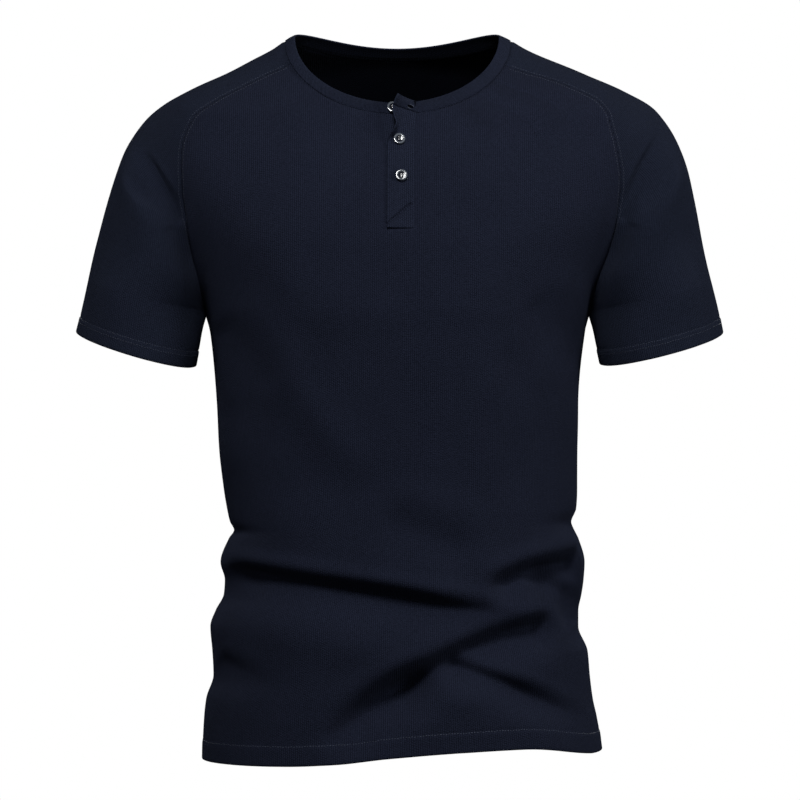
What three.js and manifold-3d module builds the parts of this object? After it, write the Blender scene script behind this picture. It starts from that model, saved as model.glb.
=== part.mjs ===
// A short-sleeved raglan henley shirt, filled out as if worn. Millimetres, +Z up, the front faces -Y.
// The origin is in the middle of the neck, level with the binding's free edge at the neck's two sides.
import * as THREE from 'three';
import Module from 'manifold-3d';

const wasm = await Module();
wasm.setup();

// Driving dimensions. The cloth's outer face is drawn, and its thickness goes inwards.
const knitWall = 1.6;
const flapWall = 1.7;
const bindingWall = 2;
const bindingBulge = 0.8; // how far the binding rounds out between its edges
const seamGap = 0.3;
const mitreLimit = 0.8; // how far a folded seam may lengthen the wall's edge
const sideSeamY = 5;
const roundness = 2.3; // power of the superellipse that every body section follows
const armpitZ = -265;
const raglanRows = 13;
const frontColumns = { left: 11, strip: 3, right: 11 };
const backColumns = 22;
const sleeveColumns = 20;
const cuffRows = 6;

// The body's sections: half widths from x = 0, and depths to the front and the back from y = 0.
const bodySections = table(['z', 'left', 'right', 'front', 'back'], [
  [-4, 113, 109, 27, 47],
  [-14, 125, 125, 34, 64],
  [-25, 147, 151, 42, 76],
  [-38, 172, 178, 52, 83],
  [-52, 200, 214, 63, 89],
  [-67, 228, 241, 74, 95],
  [-82, 244, 250, 84, 101],
  [-100, 246, 250, 92, 106],
  [-130, 240, 243, 105, 113],
  [-170, 224, 226, 117, 118],
  [-210, 207, 206, 124, 118],
  [armpitZ, 188, 183, 125, 114],
  [-295, 183, 178, 122, 109],
  [-353, 178, 173, 116, 101],
  [-404, 175, 172, 112, 96],
  [-440, 171, 172, 110, 94],
  [-458, 168, 171, 110, 94],
  [-471, 165, 166, 111, 95],
  [-479, 161, 169, 111, 95],
  [-487, 166, 173, 112, 96],
  [-510, 174, 179, 112, 98],
  [-527, 170, 178, 112, 99],
  [-541, 171, 176, 112, 101],
  [-557, 179, 173, 112, 102],
  [-572, 184, 173, 113, 103],
  [-596, 182, 182, 114, 105],
  [-619, 181, 184, 114, 105],
  [-642, 188, 187, 114, 106],
  [-660, 190, 191, 115, 107],
  [-705, 192, 198, 116, 108],
]);

// Rows of cloth between the armpit and the hem, close together where the folds are.
const rowBands = table(['from', 'to', 'rows'], [
  [armpitZ, -470, 9],
  [-470, -650, 18],
  [-650, -700, 4],
]);
const hemLiftFrom = -560; // below here the rows turn to follow the hem
const levelHemZ = -700;
const hems = {
  front: table(['x', 'z'], [
    [-190, -699], [-110, -697.5], [-60, -694.5], [-10, -688.5], [60, -683.5], [120, -681.5], [185, -690],
  ]),
  back: table(['x', 'z'], [[-190, -699], [0, -697], [185, -690]]),
};

// The neck seam is a scoop at the front and a shallow curve at the back. The turn goes from the right
// shoulder (0) over the middle of the front (90) and the left shoulder (180) to the back (270).
const neckSeam = {
  x: -2, z: -4, halfWidth: 110, frontDrop: 77.5, frontReach: 88.3,
  backReach: 64, backRise: 0, backDrop: 13, backPower: 2,
};
const neckEdge = {
  x: -3, z: 1, halfWidth: 100, frontDrop: 72.3, frontReach: 83.4,
  backReach: 59, backRise: 12, backDrop: 19.4, backPower: 2.5,
};
const frontPlanPower = 0.66;
const neckTurns = { frontLeft: 160, frontRight: 21, backLeft: 211, backRight: 329 };

// The raglan seams as seen from the front, from the neck to the armpit.
const raglanSeams = {
  frontLeft: table(['x', 'z'], [
    [-132, -43], [-157, -56], [-180, -69], [-198, -84], [-205, -98], [-209, -118],
    [-209, -141], [-208, -159], [-205, -178], [-200, -212], [-193, -240],
  ]),
  frontRight: table(['x', 'z'], [
    [118, -38], [149, -47], [172, -57], [190, -67], [200, -84], [206, -107],
    [210, -129], [211, -150], [208, -175], [200, -210], [190, -238],
  ]),
  backLeft: table(['x', 'z'], [
    [-128, -32], [-156, -50], [-179, -71], [-192, -98],
    [-198, -134], [-200, -170], [-197, -212], [-191, -240],
  ]),
  backRight: table(['x', 'z'], [
    [122, -30], [150, -45], [174, -62], [189, -90], [198, -130], [200, -170], [195, -212], [187, -240],
  ]),
};

// The sleeves' outer line as seen from the front, from the neck to the cuff, and the underarm seams.
const outerLines = {
  left: table(['x', 'z'], [
    [-112, -4], [-122, -11.5], [-144, -23], [-172, -37.5], [-203, -52.5], [-229, -67], [-247, -81.5],
    [-262, -103], [-275, -133], [-286, -167], [-295, -202], [-303, -238], [-313.5, -285],
  ]),
  right: table(['x', 'z'], [
    [108, -4], [122, -11.5], [148, -23], [181, -37.5], [216, -52], [243, -67], [256, -81.5],
    [267, -99], [277, -126], [285, -158], [294, -202], [302.5, -240], [313, -286],
  ]),
};
const sleeveLevelAtArmpit = -240;
const innerCuff = { left: { x: -198, z: -319 }, right: { x: 194, z: -317 } };
const cuffDroop = 0.12; // how far the front of the cuff hangs, for each step forwards
const sleeveReach = { front: -60, back: 69 }; // how far the lower sleeve bulges, from y = 0
const reached = { from: 0.5, to: 0.85 }; // shares of the raglan seam over which it comes to bulge so far
const tuckFrom = 0.3; // share of the raglan seam, from the neck, that runs smoothly into the sleeve
const tuckedWay = { out: 0.22, down: 0.05 }; // how the cloth leaves the armpit, for each step sideways
const neckBlendRows = 5; // sleeve rows over which the neck's curve dies away

// Folds: a line seen from the front or back, then the steep drop above it and the slow rise below.
const foldRidge = { at: 2.1, width: 0.9 }; // the ridge beside a trough, as shares of the trough's width
const foldFade = 0.22; // share of a fold's length over which each end fades out
const foldColumns = ['x1', 'z1', 'x2', 'z2', 'x3', 'z3', 'depth', 'above', 'below', 'lift'];
const folds = {
  front: table(foldColumns, [
    [-166, -514, -40, -520, 104, -549, 15, 9, 24, 7],
    [84, -528, 116, -497, 170, -500, 9, 8, 15, 5],
    [153, -558, 40, -582, -70, -655, 9, 12, 20, 5],
    [44, -598, 105, -605, 180, -662, 6, 12, 14, 3],
    [-172, -590, -150, -606, -124, -614, 5, 7, 11, 3],
    [-16, -456, 30, -470, 74, -494, 4, 14, 18, 2],
    [120, -256, 150, -280, 178, -330, 9, 14, 13, 4],
    [-152, -330, -110, -400, -50, -462, 3, 20, 22, 2],
    [-176, -276, -150, -300, -120, -350, 5, 14, 15, 3],
  ]),
  back: table(foldColumns, [
    [160, -508, 40, -540, -120, -528, 13, 13, 24, 7],
    [-150, -560, -40, -590, 90, -650, 9, 14, 20, 5],
    [120, -560, 60, -600, -10, -612, 7, 14, 16, 4],
    [-140, -462, -60, -474, 40, -462, 6, 14, 18, 3],
    [-176, -276, -140, -310, -110, -370, 6, 14, 16, 4],
    [172, -276, 140, -306, 108, -360, 6, 14, 16, 4],
  ]),
};
const sleeveFolds = {
  left: {
    front: table(foldColumns, [
      [-252, -106, -224, -144, -203, -200, 9, 9, 11, 4],
      [-276, -196, -262, -226, -232, -250, 4, 12, 12, 2],
    ]),
    back: table(foldColumns, [[-256, -120, -226, -160, -202, -206, 8, 10, 12, 4]]),
  },
  right: {
    front: table(foldColumns, [
      [253, -92, 225, -134, 205, -196, 9, 9, 11, 4],
      [282, -170, 262, -214, 228, -244, 4, 12, 12, 2],
    ]),
    back: table(foldColumns, [[256, -120, 226, -160, 202, -206, 8, 10, 12, 4]]),
  },
};

// The placket: a slit in the front whose edges carry two flaps, the outer one opening at its top corner.
const slit = table(['z', 'left', 'right'], [
  [-70, -18, 18], [-100, -15.5, 14], [-130, -13.8, 11.7], [-191, -13.5, 11.5],
]);
const slitBottomZ = -191;
const flap = {
  width: 25, underWidth: 23, rows: 15, columns: 5,
  cornerRise: 5.6, cornerLean: 2, riseFrom: -122, riseTo: -84, rootWidth: 4,
};
const flapCurl = table(['z', 'degrees'], [
  [-70, 55], [-82, 56], [-90, 66], [-96, 22], [-101, 0], [-200, 0],
]);
const overFlapStep = 2.2; // how far the outer flap's free edge stands off the front
const flapClearance = 0.35;
const bindingRows = 2;

// The buttons: four holes in a dished middle, and a broad raised rim.
const button = {
  radius: 5.7, thickness: 2.5, edgeRound: 0.7, sides: 22,
  wellRadius: 3.4, wellSlope: 0.4, wellDepth: 0.9,
  holeRadius: 0.6, holeSpread: 1.7, holeSides: 8,
};
const buttonSeats = table(['x', 'z'], [[-6.8, -76], [0.4, -107], [1.6, -142]]);
const buttonClearance = 0.3;

const materials = {
  body: fabric('#1d2130'),
  sleeve: fabric('#20252f'),
  trim: fabric('#1a1e2b'),
  button: new THREE.MeshStandardMaterial({ color: '#aab4bf', roughness: 0.25, metalness: 0 }),
};

function fabric(color) {
  return new THREE.MeshStandardMaterial({ color, roughness: 0.9, metalness: 0 });
}

function table(columns, rows) {
  return rows.map((row) => Object.fromEntries(columns.map((name, i) => [name, row[i]])));
}

function smoothstep(from, to, value) {
  const t = THREE.MathUtils.clamp((value - from) / (to - from), 0, 1);
  return t * t * (3 - 2 * t);
}

// A smooth function through a table's rows that never swings past them.
function through(rows, input, output) {
  const sorted = [...rows].sort((a, b) => a[input] - b[input]);
  const at = sorted.map((row) => row[input]);
  const value = sorted.map((row) => row[output]);
  const rise = at.slice(1).map((x, i) => (value[i + 1] - value[i]) / (x - at[i]));
  const slope = at.map((_, i) => {
    const before = rise[Math.max(i - 1, 0)];
    const after = rise[Math.min(i, rise.length - 1)];
    return before * after > 0 ? (2 * before * after) / (before + after) : 0;
  });
  return (x) => {
    const clamped = THREE.MathUtils.clamp(x, at[0], at[at.length - 1]);
    let i = 0;
    while (i < at.length - 2 && clamped > at[i + 1]) i += 1;
    const span = at[i + 1] - at[i];
    const t = (clamped - at[i]) / span;
    const startShare = (1 + 2 * t) * (1 - t) ** 2;
    const endShare = t * t * (3 - 2 * t);
    const bend = span * t * (1 - t) * (slope[i] * (1 - t) - slope[i + 1] * t);
    return value[i] * startShare + value[i + 1] * endShare + bend;
  };
}

const leftHalf = through(bodySections, 'z', 'left');
const rightHalf = through(bodySections, 'z', 'right');
const frontReach = through(bodySections, 'z', 'front');
const backReach = through(bodySections, 'z', 'back');
const hemHeight = { front: through(hems.front, 'x', 'z'), back: through(hems.back, 'x', 'z') };
const slitLeft = through(slit, 'z', 'left');
const slitRight = through(slit, 'z', 'right');
const curlAt = through(flapCurl, 'z', 'degrees');

const facing = { front: -1, back: 1 };

function bodyHalf(x, z) {
  return x < 0 ? leftHalf(z) : rightHalf(z);
}

function bodyDepth(z, face) {
  return face === 'front' ? frontReach(z) + sideSeamY : backReach(z) - sideSeamY;
}

// The plain body without folds, as a height field over the front view.
function bodyY(x, z, face) {
  const share = Math.min(1, Math.abs(x) / bodyHalf(x, z));
  return sideSeamY + facing[face] * bodyDepth(z, face) * (1 - share ** roundness) ** (1 / roundness);
}

function bodyNormal(x, z, face) {
  const step = 0.5;
  const half = bodyHalf(x, z);
  const depth = bodyDepth(z, face);
  const across = Math.min(1, Math.abs(x) / half);
  const forward = (1 - across ** roundness) ** (1 / roundness);
  const halfSlope = (bodyHalf(x, z + step) - bodyHalf(x, z - step)) / (2 * step);
  const depthSlope = (bodyDepth(z + step, face) - bodyDepth(z - step, face)) / (2 * step);
  const widthPart = across ** (roundness - 1) / half;
  const depthPart = forward ** (roundness - 1) / depth;
  return new THREE.Vector3(
    Math.sign(x) * widthPart,
    facing[face] * depthPart,
    -(widthPart * across * halfSlope + depthPart * forward * depthSlope),
  ).normalize();
}

// Folds are drawn as smooth three-point lines, and measured across in the front view.
function foldLine(fold) {
  const curve = new THREE.QuadraticBezierCurve(
    new THREE.Vector2(fold.x1, fold.z1),
    new THREE.Vector2(fold.x2, fold.z2),
    new THREE.Vector2(fold.x3, fold.z3),
  );
  return { ...fold, line: curve.getPoints(20) };
}

function foldHeight(fold, x, z) {
  let nearest = Infinity;
  let along = 0;
  let side = 1;
  for (let i = 0; i < fold.line.length - 1; i += 1) {
    const a = fold.line[i];
    const b = fold.line[i + 1];
    const dx = b.x - a.x;
    const dz = b.y - a.y;
    const t = THREE.MathUtils.clamp(((x - a.x) * dx + (z - a.y) * dz) / (dx * dx + dz * dz), 0, 1);
    const gap = Math.hypot(x - a.x - t * dx, z - a.y - t * dz);
    if (gap < nearest) {
      nearest = gap;
      along = (i + t) / (fold.line.length - 1);
      side = Math.sign((dx * (z - a.y) - dz * (x - a.x)) * dx) || 1;
    }
  }
  const fade = smoothstep(0, foldFade, along) * smoothstep(1, 1 - foldFade, along);
  const width = side > 0 ? fold.above : fold.below;
  const trough = -fold.depth * Math.exp(-((nearest / width) ** 2));
  const pastRidge = (nearest - foldRidge.at * width) / (foldRidge.width * width);
  const ridge = fold.lift * Math.exp(-(pastRidge ** 2));
  return fade * (trough + ridge);
}

const bodyFolds = { front: folds.front.map(foldLine), back: folds.back.map(foldLine) };

// A point of the body's outer face, moved out by a given offset.
function bodyPoint(x, z, face, offset = 0) {
  const point = new THREE.Vector3(x, bodyY(x, z, face), z);
  const nearSeam = smoothstep(1, 0.9, Math.abs(x) / bodyHalf(x, z));
  const relief = bodyFolds[face].reduce((sum, fold) => sum + foldHeight(fold, x, z), 0);
  return point.addScaledVector(bodyNormal(x, z, face), relief * nearSeam + offset);
}

// Points spaced evenly along a run of close points.
function spaced(points, count) {
  const reach = [0];
  for (let i = 1; i < points.length; i += 1) reach.push(reach[i - 1] + points[i].distanceTo(points[i - 1]));
  const total = reach[reach.length - 1];
  const result = [points[0].clone()];
  let i = 0;
  for (let k = 1; k < count; k += 1) {
    const target = (total * k) / count;
    while (reach[i + 1] < target) i += 1;
    result.push(points[i].clone().lerp(points[i + 1], (target - reach[i]) / (reach[i + 1] - reach[i])));
  }
  result.push(points[points.length - 1].clone());
  return result;
}

function neckPoint(curve, degrees) {
  const turn = THREE.MathUtils.degToRad(degrees);
  const c = Math.cos(turn);
  const s = Math.abs(Math.sin(turn));
  const x = curve.x + curve.halfWidth * c;
  if (degrees <= 180) {
    const y = sideSeamY - curve.frontReach * s ** frontPlanPower;
    return new THREE.Vector3(x, y, curve.z - curve.frontDrop * s);
  }
  const z = curve.z + curve.backRise * s - curve.backDrop * s ** curve.backPower;
  return new THREE.Vector3(x, sideSeamY + curve.backReach * s, z);
}

function neckRun(from, to) {
  const steps = 80;
  return Array.from({ length: steps + 1 }, (_, i) => neckPoint(neckSeam, from + ((to - from) * i) / steps));
}

// The binding's free edge above a point of the neck seam.
function bindingTop(point) {
  const c = THREE.MathUtils.clamp((point.x - neckSeam.x) / neckSeam.halfWidth, -1, 1);
  const front = THREE.MathUtils.radToDeg(Math.acos(c));
  return neckPoint(neckEdge, point.y < sideSeamY ? front : 360 - front);
}

// A raglan seam, drawn on the unrolled body so that it stays on the surface down to the side seam.
function raglanSeam(sideName, face) {
  const side = sideName === 'left' ? -1 : 1;
  const label = face + (side < 0 ? 'Left' : 'Right');
  const start = neckPoint(neckSeam, neckTurns[label]);
  const unrollRadius = 150;
  const unrolled = [start, ...raglanSeams[label]].map(({ x, z }) => {
    const turn = Math.acos(Math.min(1, Math.abs(x) / bodyHalf(x, z)) ** (roundness / 2));
    return new THREE.Vector3(turn * unrollRadius, z, 0);
  });
  unrolled.push(new THREE.Vector3(0, armpitZ, 0));
  const points = new THREE.CatmullRomCurve3(unrolled, false, 'centripetal').getPoints(240).map((flat) => {
    const turn = Math.max(0, flat.x / unrollRadius);
    const z = flat.y;
    const x = side * bodyHalf(side, z) * Math.cos(turn) ** (2 / roundness);
    const y = sideSeamY + facing[face] * bodyDepth(z, face) * Math.sin(turn) ** (2 / roundness);
    return new THREE.Vector3(x, y, z);
  });
  points[0].copy(start);
  return spaced(points, raglanRows);
}

const seams = {
  front: { left: raglanSeam('left', 'front'), right: raglanSeam('right', 'front') },
  back: { left: raglanSeam('left', 'back'), right: raglanSeam('right', 'back') },
};

const sideLevels = rowBands.flatMap(({ from, to, rows }) =>
  Array.from({ length: rows }, (_, i) => from + ((to - from) * (i + 1)) / rows));

function levelAt(level, x, face) {
  return level + (hemHeight[face](x) - levelHemZ) * smoothstep(hemLiftFrom, levelHemZ, level);
}

function sidePoint(level, sideName) {
  const side = sideName === 'left' ? -1 : 1;
  const z = levelAt(level, side * bodyHalf(side, level), 'front');
  return new THREE.Vector3(side * bodyHalf(side, z), sideSeamY, z);
}

// A close run of points across one face, at the heights that heightAt gives, between two seam points.
function faceRun(left, right, face, heightAt) {
  const steps = 200;
  const middle = (left.x + right.x) / 2;
  const half = (right.x - left.x) / 2;
  const run = [left.clone()];
  for (let i = 1; i < steps; i += 1) {
    const x = middle + half * Math.sin(Math.PI * (i / steps - 0.5));
    run.push(bodyPoint(x, heightAt(x), face));
  }
  run.push(right.clone());
  return run;
}

// The shape of a row between the raglan seams: it dips in the middle as the neck does.
function raglanHeight(row, face) {
  const left = seams[face].left[row];
  const right = seams[face].right[row];
  const end = face === 'front' ? neckTurns.frontLeft : neckTurns.backLeft;
  const endSine = Math.abs(Math.sin(THREE.MathUtils.degToRad(end)));
  const endCosine = Math.sqrt(1 - endSine ** 2);
  const power = face === 'front' ? 1 : 2;
  const drop = face === 'front' ? neckSeam.frontDrop : neckSeam.backDrop;
  const dip = drop * (1 - endSine ** power) * (1 - row / raglanRows) ** 1.4;
  return (x) => {
    const share = THREE.MathUtils.clamp((x - left.x) / (right.x - left.x), 0, 1);
    const sine = Math.sqrt(1 - (endCosine * (2 * share - 1)) ** 2);
    const scoop = (sine ** power - endSine ** power) / (1 - endSine ** power);
    return left.z + (right.z - left.z) * share - dip * scoop;
  };
}

function faceRuns(face) {
  const runs = [];
  const from = face === 'front' ? neckTurns.frontLeft : neckTurns.backLeft;
  const to = face === 'front' ? neckTurns.frontRight : neckTurns.backRight;
  runs.push(neckRun(from, to));
  for (let row = 1; row <= raglanRows; row += 1) {
    runs.push(faceRun(seams[face].left[row], seams[face].right[row], face, raglanHeight(row, face)));
  }
  for (const level of sideLevels) {
    const heightAt = (x) => levelAt(level, x, face);
    runs.push(faceRun(sidePoint(level, 'left'), sidePoint(level, 'right'), face, heightAt));
  }
  return runs;
}

function cutRun(run, edge) {
  const after = run.findIndex((point) => point.x > edge(point.z));
  const a = run[after - 1];
  const b = run[after];
  const gapA = edge(a.z) - a.x;
  const gapB = b.x - edge(b.z);
  const cut = a.clone().lerp(b, gapA / (gapA + gapB));
  return [[...run.slice(0, after), cut], [cut, ...run.slice(after)]];
}

// Cloth is gathered as outer points and faces, and becomes a wall when all seams are known.
class Cloth {
  constructor(name, thickness, material) {
    this.name = name;
    this.thickness = thickness;
    this.material = material;
    this.points = [];
    this.keys = [];
    this.found = new Map();
    this.faces = [];
  }

  corner(point) {
    const key = [point.x, point.y, point.z].map((v) => Math.round(v * 1000)).join();
    if (!this.found.has(key)) {
      this.found.set(key, this.points.length);
      this.points.push(point.clone());
      this.keys.push(key);
    }
    return this.found.get(key);
  }

  grid(rows, turned, keep = () => true) {
    for (let r = 0; r < rows.length - 1; r += 1) {
      for (let c = 0; c < rows[r].length - 1; c += 1) {
        if (!keep(r, c)) continue;
        const loop = [rows[r][c], rows[r + 1][c], rows[r + 1][c + 1], rows[r][c + 1]];
        if (turned) loop.reverse();
        this.quad(...loop.map((point) => this.corner(point)));
      }
    }
  }

  quad(a, b, c, d) {
    const acrossFirst = this.points[a].distanceTo(this.points[c]);
    const acrossSecond = this.points[b].distanceTo(this.points[d]);
    const pair = acrossFirst <= acrossSecond ? [[a, b, c], [a, c, d]] : [[a, b, d], [b, c, d]];
    for (const face of pair) if (new Set(face).size === 3) this.faces.push(face);
  }

  pointNormals() {
    const normals = this.points.map(() => new THREE.Vector3());
    for (const face of this.faces) {
      const [a, b, c] = face.map((i) => this.points[i]);
      const normal = b.clone().sub(a).cross(c.clone().sub(a)).normalize();
      face.forEach((corner, i) => {
        const here = this.points[corner];
        const next = this.points[face[(i + 1) % 3]].clone().sub(here);
        const last = this.points[face[(i + 2) % 3]].clone().sub(here);
        normals[corner].addScaledVector(normal, next.angleTo(last));
      });
    }
    return normals;
  }
}

// The outer faces meet along a seam, and both walls end on one plane there, half the gap back from it.
function wallGeometry(cloth, seamNormals) {
  const own = cloth.pointNormals().map((normal) => normal.normalize());
  const edges = new Map();
  for (const [a, b, c] of cloth.faces) {
    for (const [from, to] of [[a, b], [b, c], [c, a]]) {
      if (!edges.delete(`${to} ${from}`)) edges.set(`${from} ${to}`, [from, to]);
    }
  }
  const rim = [...edges.values()];
  const into = cloth.points.map(() => []);
  const outward = own.map((normal) => normal.clone());
  for (const [from] of rim) outward[from].copy(seamNormals.get(cloth.keys[from])).normalize();
  for (const [from, to] of rim) {
    const along = cloth.points[to].clone().sub(cloth.points[from]).normalize();
    for (const end of [from, to]) into[end].push(outward[end].clone().cross(along).normalize());
  }
  const outer = cloth.points.map((point, i) => {
    if (into[i].length < 2) return point;
    const [first, second] = into[i];
    const stretch = Math.max(0.5, 1 + first.dot(second));
    return point.clone().addScaledVector(first.clone().add(second), seamGap / 2 / stretch);
  });
  const inner = outer.map((point, i) => {
    const lean = Math.max(mitreLimit, outward[i].dot(own[i]));
    return point.clone().addScaledVector(outward[i], -cloth.thickness / lean);
  });
  const count = cloth.points.length;
  const triangles = [];
  for (const [a, b, c] of cloth.faces) triangles.push(a, b, c, a + count, c + count, b + count);
  for (const [a, b] of rim) triangles.push(b, a, a + count, b, a + count, b + count);
  const geometry = new THREE.BufferGeometry();
  const corners = [...outer, ...inner].flatMap((point) => point.toArray());
  geometry.setAttribute('position', new THREE.Float32BufferAttribute(corners, 3));
  geometry.setIndex(triangles);
  geometry.computeVertexNormals();
  return geometry;
}

// Front: columns left of the slit, the strip in its line, and columns right of it.
const frontRuns = faceRuns('front');
const frontGrid = frontRuns.map((run) => {
  const [left, rest] = cutRun(run, slitLeft);
  const [strip, right] = cutRun(rest, slitRight);
  return [
    ...spaced(left, frontColumns.left),
    ...spaced(strip, frontColumns.strip).slice(1, -1),
    ...spaced(right, frontColumns.right),
  ];
});
const slitRow = frontGrid.findIndex((row) => row[frontColumns.left].z < slitBottomZ);
for (let column = 0; column <= frontColumns.strip; column += 1) {
  const point = frontGrid[slitRow][frontColumns.left + column];
  point.copy(bodyPoint(point.x, slitBottomZ, 'front'));
}
const stripEnd = frontColumns.left + frontColumns.strip;
const inSlit = (r, c) => r < slitRow && c >= frontColumns.left && c < stripEnd;
const front = new Cloth('front', knitWall, materials.body);
front.grid(frontGrid, false, (r, c) => !inSlit(r, c));

const backGrid = faceRuns('back').map((run) => spaced(run, backColumns));
const back = new Cloth('back', knitWall, materials.body);
back.grid(backGrid, true);

// Half of a sleeve's row, from a seam to the outer line: round, or else drawn out to the sleeve's reach.
function armCurve(start, startWay, end, endWay, tucked) {
  const middlePull = 3 / 8; // how far each handle moves the middle of its curve
  const turn = startWay.angleTo(endWay.clone().negate());
  const handle = ((2 / 3) * Math.tan(turn / 4)) / Math.max(0.01, Math.sin(turn / 2));
  const roundLength = start.distanceTo(end) * handle;
  const reach = endWay.y < 0 ? sleeveReach.front : sleeveReach.back;
  const middle = (start.y + end.y) / 2;
  const deepLength = tucked > 0 ? (reach - middle) / (middlePull * (startWay.y + endWay.y)) : roundLength;
  const length = THREE.MathUtils.lerp(roundLength, deepLength, tucked);
  return new THREE.CubicBezierCurve3(
    start,
    start.clone().addScaledVector(startWay, length),
    end.clone().addScaledVector(endWay, length),
    end,
  ).getPoints(48);
}

// The direction in which a sleeve leaves its raglan seam: on from the body at the shoulder, and folded
// back beside it at the armpit.
function seamWay(sideName, face, row) {
  const side = sideName === 'left' ? -1 : 1;
  const seam = seams[face][sideName];
  const here = seam[row];
  const along = seam[Math.min(row + 1, raglanRows)].clone().sub(seam[Math.max(row - 1, 0)]).normalize();
  const smooth = along.cross(bodyNormal(here.x, here.z, face)).multiplyScalar(side * facing[face]);
  smooth.normalize();
  const folded = new THREE.Vector3(side * tuckedWay.out, facing[face], -tuckedWay.down).normalize();
  return smooth.lerp(folded, smoothstep(tuckFrom, 1, row / raglanRows)).normalize();
}

function sleeveRuns(sideName) {
  const line = outerLines[sideName];
  const shoulderToArmpit = line.filter(({ z }) => z >= sleeveLevelAtArmpit);
  const asPoint = ({ x, z }) => new THREE.Vector3(x, sideSeamY, z);
  const upper = new THREE.CatmullRomCurve3(shoulderToArmpit.map(asPoint), false, 'centripetal');
  const outer = spaced(upper.getPoints(200), raglanRows);
  const armpit = seams.front[sideName][raglanRows];
  const cuffOuter = asPoint(line[line.length - 1]);
  const cuffInner = asPoint(innerCuff[sideName]);
  const runs = [];
  for (let row = 0; row <= raglanRows; row += 1) {
    const [forwardWay, rearwardWay] = [new THREE.Vector3(0, -1, 0), new THREE.Vector3(0, 1, 0)];
    const [frontSeam, backSeam] = [seams.front[sideName][row], seams.back[sideName][row]];
    const tucked = smoothstep(reached.from, reached.to, row / raglanRows);
    const forward = armCurve(frontSeam, seamWay(sideName, 'front', row), outer[row], forwardWay, tucked);
    const rearward = armCurve(backSeam, seamWay(sideName, 'back', row), outer[row], rearwardWay, tucked);
    runs.push([...forward, ...rearward.reverse().slice(1)]);
  }
  for (let row = 1; row <= cuffRows; row += 1) {
    const share = row / cuffRows;
    const inside = armpit.clone().lerp(cuffInner, share);
    const outside = outer[raglanRows].clone().lerp(cuffOuter, share);
    const forwardWay = new THREE.Vector3(0, -1, -cuffDroop * share).normalize();
    const rearwardWay = new THREE.Vector3(0, 1, 0);
    const forward = armCurve(inside, forwardWay, outside, forwardWay, 1);
    const rearward = armCurve(inside, rearwardWay, outside, rearwardWay, 1);
    runs.push([...forward, ...rearward.reverse().slice(1)]);
  }
  return runs;
}

function sleeveGrid(sideName) {
  const relief = {
    front: sleeveFolds[sideName].front.map(foldLine),
    back: sleeveFolds[sideName].back.map(foldLine),
  };
  const neckRow = sideName === 'left'
    ? sleeveNeckRow(neckTurns.frontLeft, neckTurns.backLeft)
    : sleeveNeckRow(neckTurns.frontRight, neckTurns.backRight - 360);
  const grid = sleeveRuns(sideName).map((run) => spaced(run, sleeveColumns));
  const misfit = neckRow.map((point, i) => point.clone().sub(grid[0][i]));
  return grid.map((row, r) => {
    const middle = row[0].clone().add(row[sleeveColumns / 2]).multiplyScalar(0.5);
    return row.map((point, c) => {
      const blend = (1 - Math.min(r, neckBlendRows) / neckBlendRows) ** 2;
      const placed = point.clone().addScaledVector(misfit[c], blend);
      if (c === 0 || c === sleeveColumns) return placed;
      const face = c < sleeveColumns / 2 ? 'front' : 'back';
      const height = relief[face].reduce((sum, fold) => sum + foldHeight(fold, placed.x, placed.z), 0);
      const nearSeam = smoothstep(0, 3, Math.min(c, sleeveColumns - c));
      return placed.addScaledVector(placed.clone().sub(middle).normalize(), height * nearSeam);
    });
  });
}

function sleeveNeckRow(from, to) {
  const steps = 80;
  const run = [];
  for (let i = 0; i <= steps; i += 1) {
    const degrees = from + ((to - from) * i) / steps;
    run.push(neckPoint(neckSeam, degrees < 0 ? degrees + 360 : degrees));
  }
  return spaced(run, sleeveColumns);
}

const sleeveGrids = { left: sleeveGrid('left'), right: sleeveGrid('right') };
const sleeves = ['left', 'right'].map((sideName) => {
  const cloth = new Cloth(`sleeve_${sideName}`, knitWall, materials.sleeve);
  cloth.grid(sleeveGrids[sideName], sideName === 'left');
  return cloth;
});

// The outer flap: sewn at the slit's right edge, its free edge over the left one, its corner curling out.
function overFlapPoint(z, share) {
  const along = share * flap.width;
  const curl = THREE.MathUtils.degToRad(curlAt(z));
  const lift = smoothstep(flap.riseFrom, flap.riseTo, z) * flap.cornerRise * share;
  let across = along;
  let curledOut = 0;
  if (curl > 0.01 && along > flap.rootWidth) {
    const radius = (flap.width - flap.rootWidth) / curl;
    const turn = (along - flap.rootWidth) / radius;
    across = flap.rootWidth + radius * Math.sin(turn);
    curledOut = radius * (1 - Math.cos(turn));
  }
  const point = bodyPoint(slitRight(z) - across, z, 'front', overFlapStep * share);
  point.y -= curledOut;
  point.z += lift;
  return point;
}

// The inner flap: sewn at the slit's left edge and lying under the outer one.
function underFlapPoint(z, share) {
  const x = slitLeft(z) + share * flap.underWidth;
  const depth = overFlapStep * share + flapWall + flapClearance - overFlapStep;
  return bodyPoint(x, z, 'front', -depth);
}

function flapGrid(pointAt, topAt) {
  return Array.from({ length: flap.rows + 1 }, (_, r) =>
    Array.from({ length: flap.columns + 1 }, (_, c) => {
      const share = c / flap.columns;
      const top = topAt(share);
      return pointAt(top + ((slitBottomZ - top) * r) / flap.rows, share);
    }));
}

function neckSeamZ(x) {
  return neckSeam.z - neckSeam.frontDrop * Math.sqrt(1 - ((x - neckSeam.x) / neckSeam.halfWidth) ** 2);
}

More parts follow.
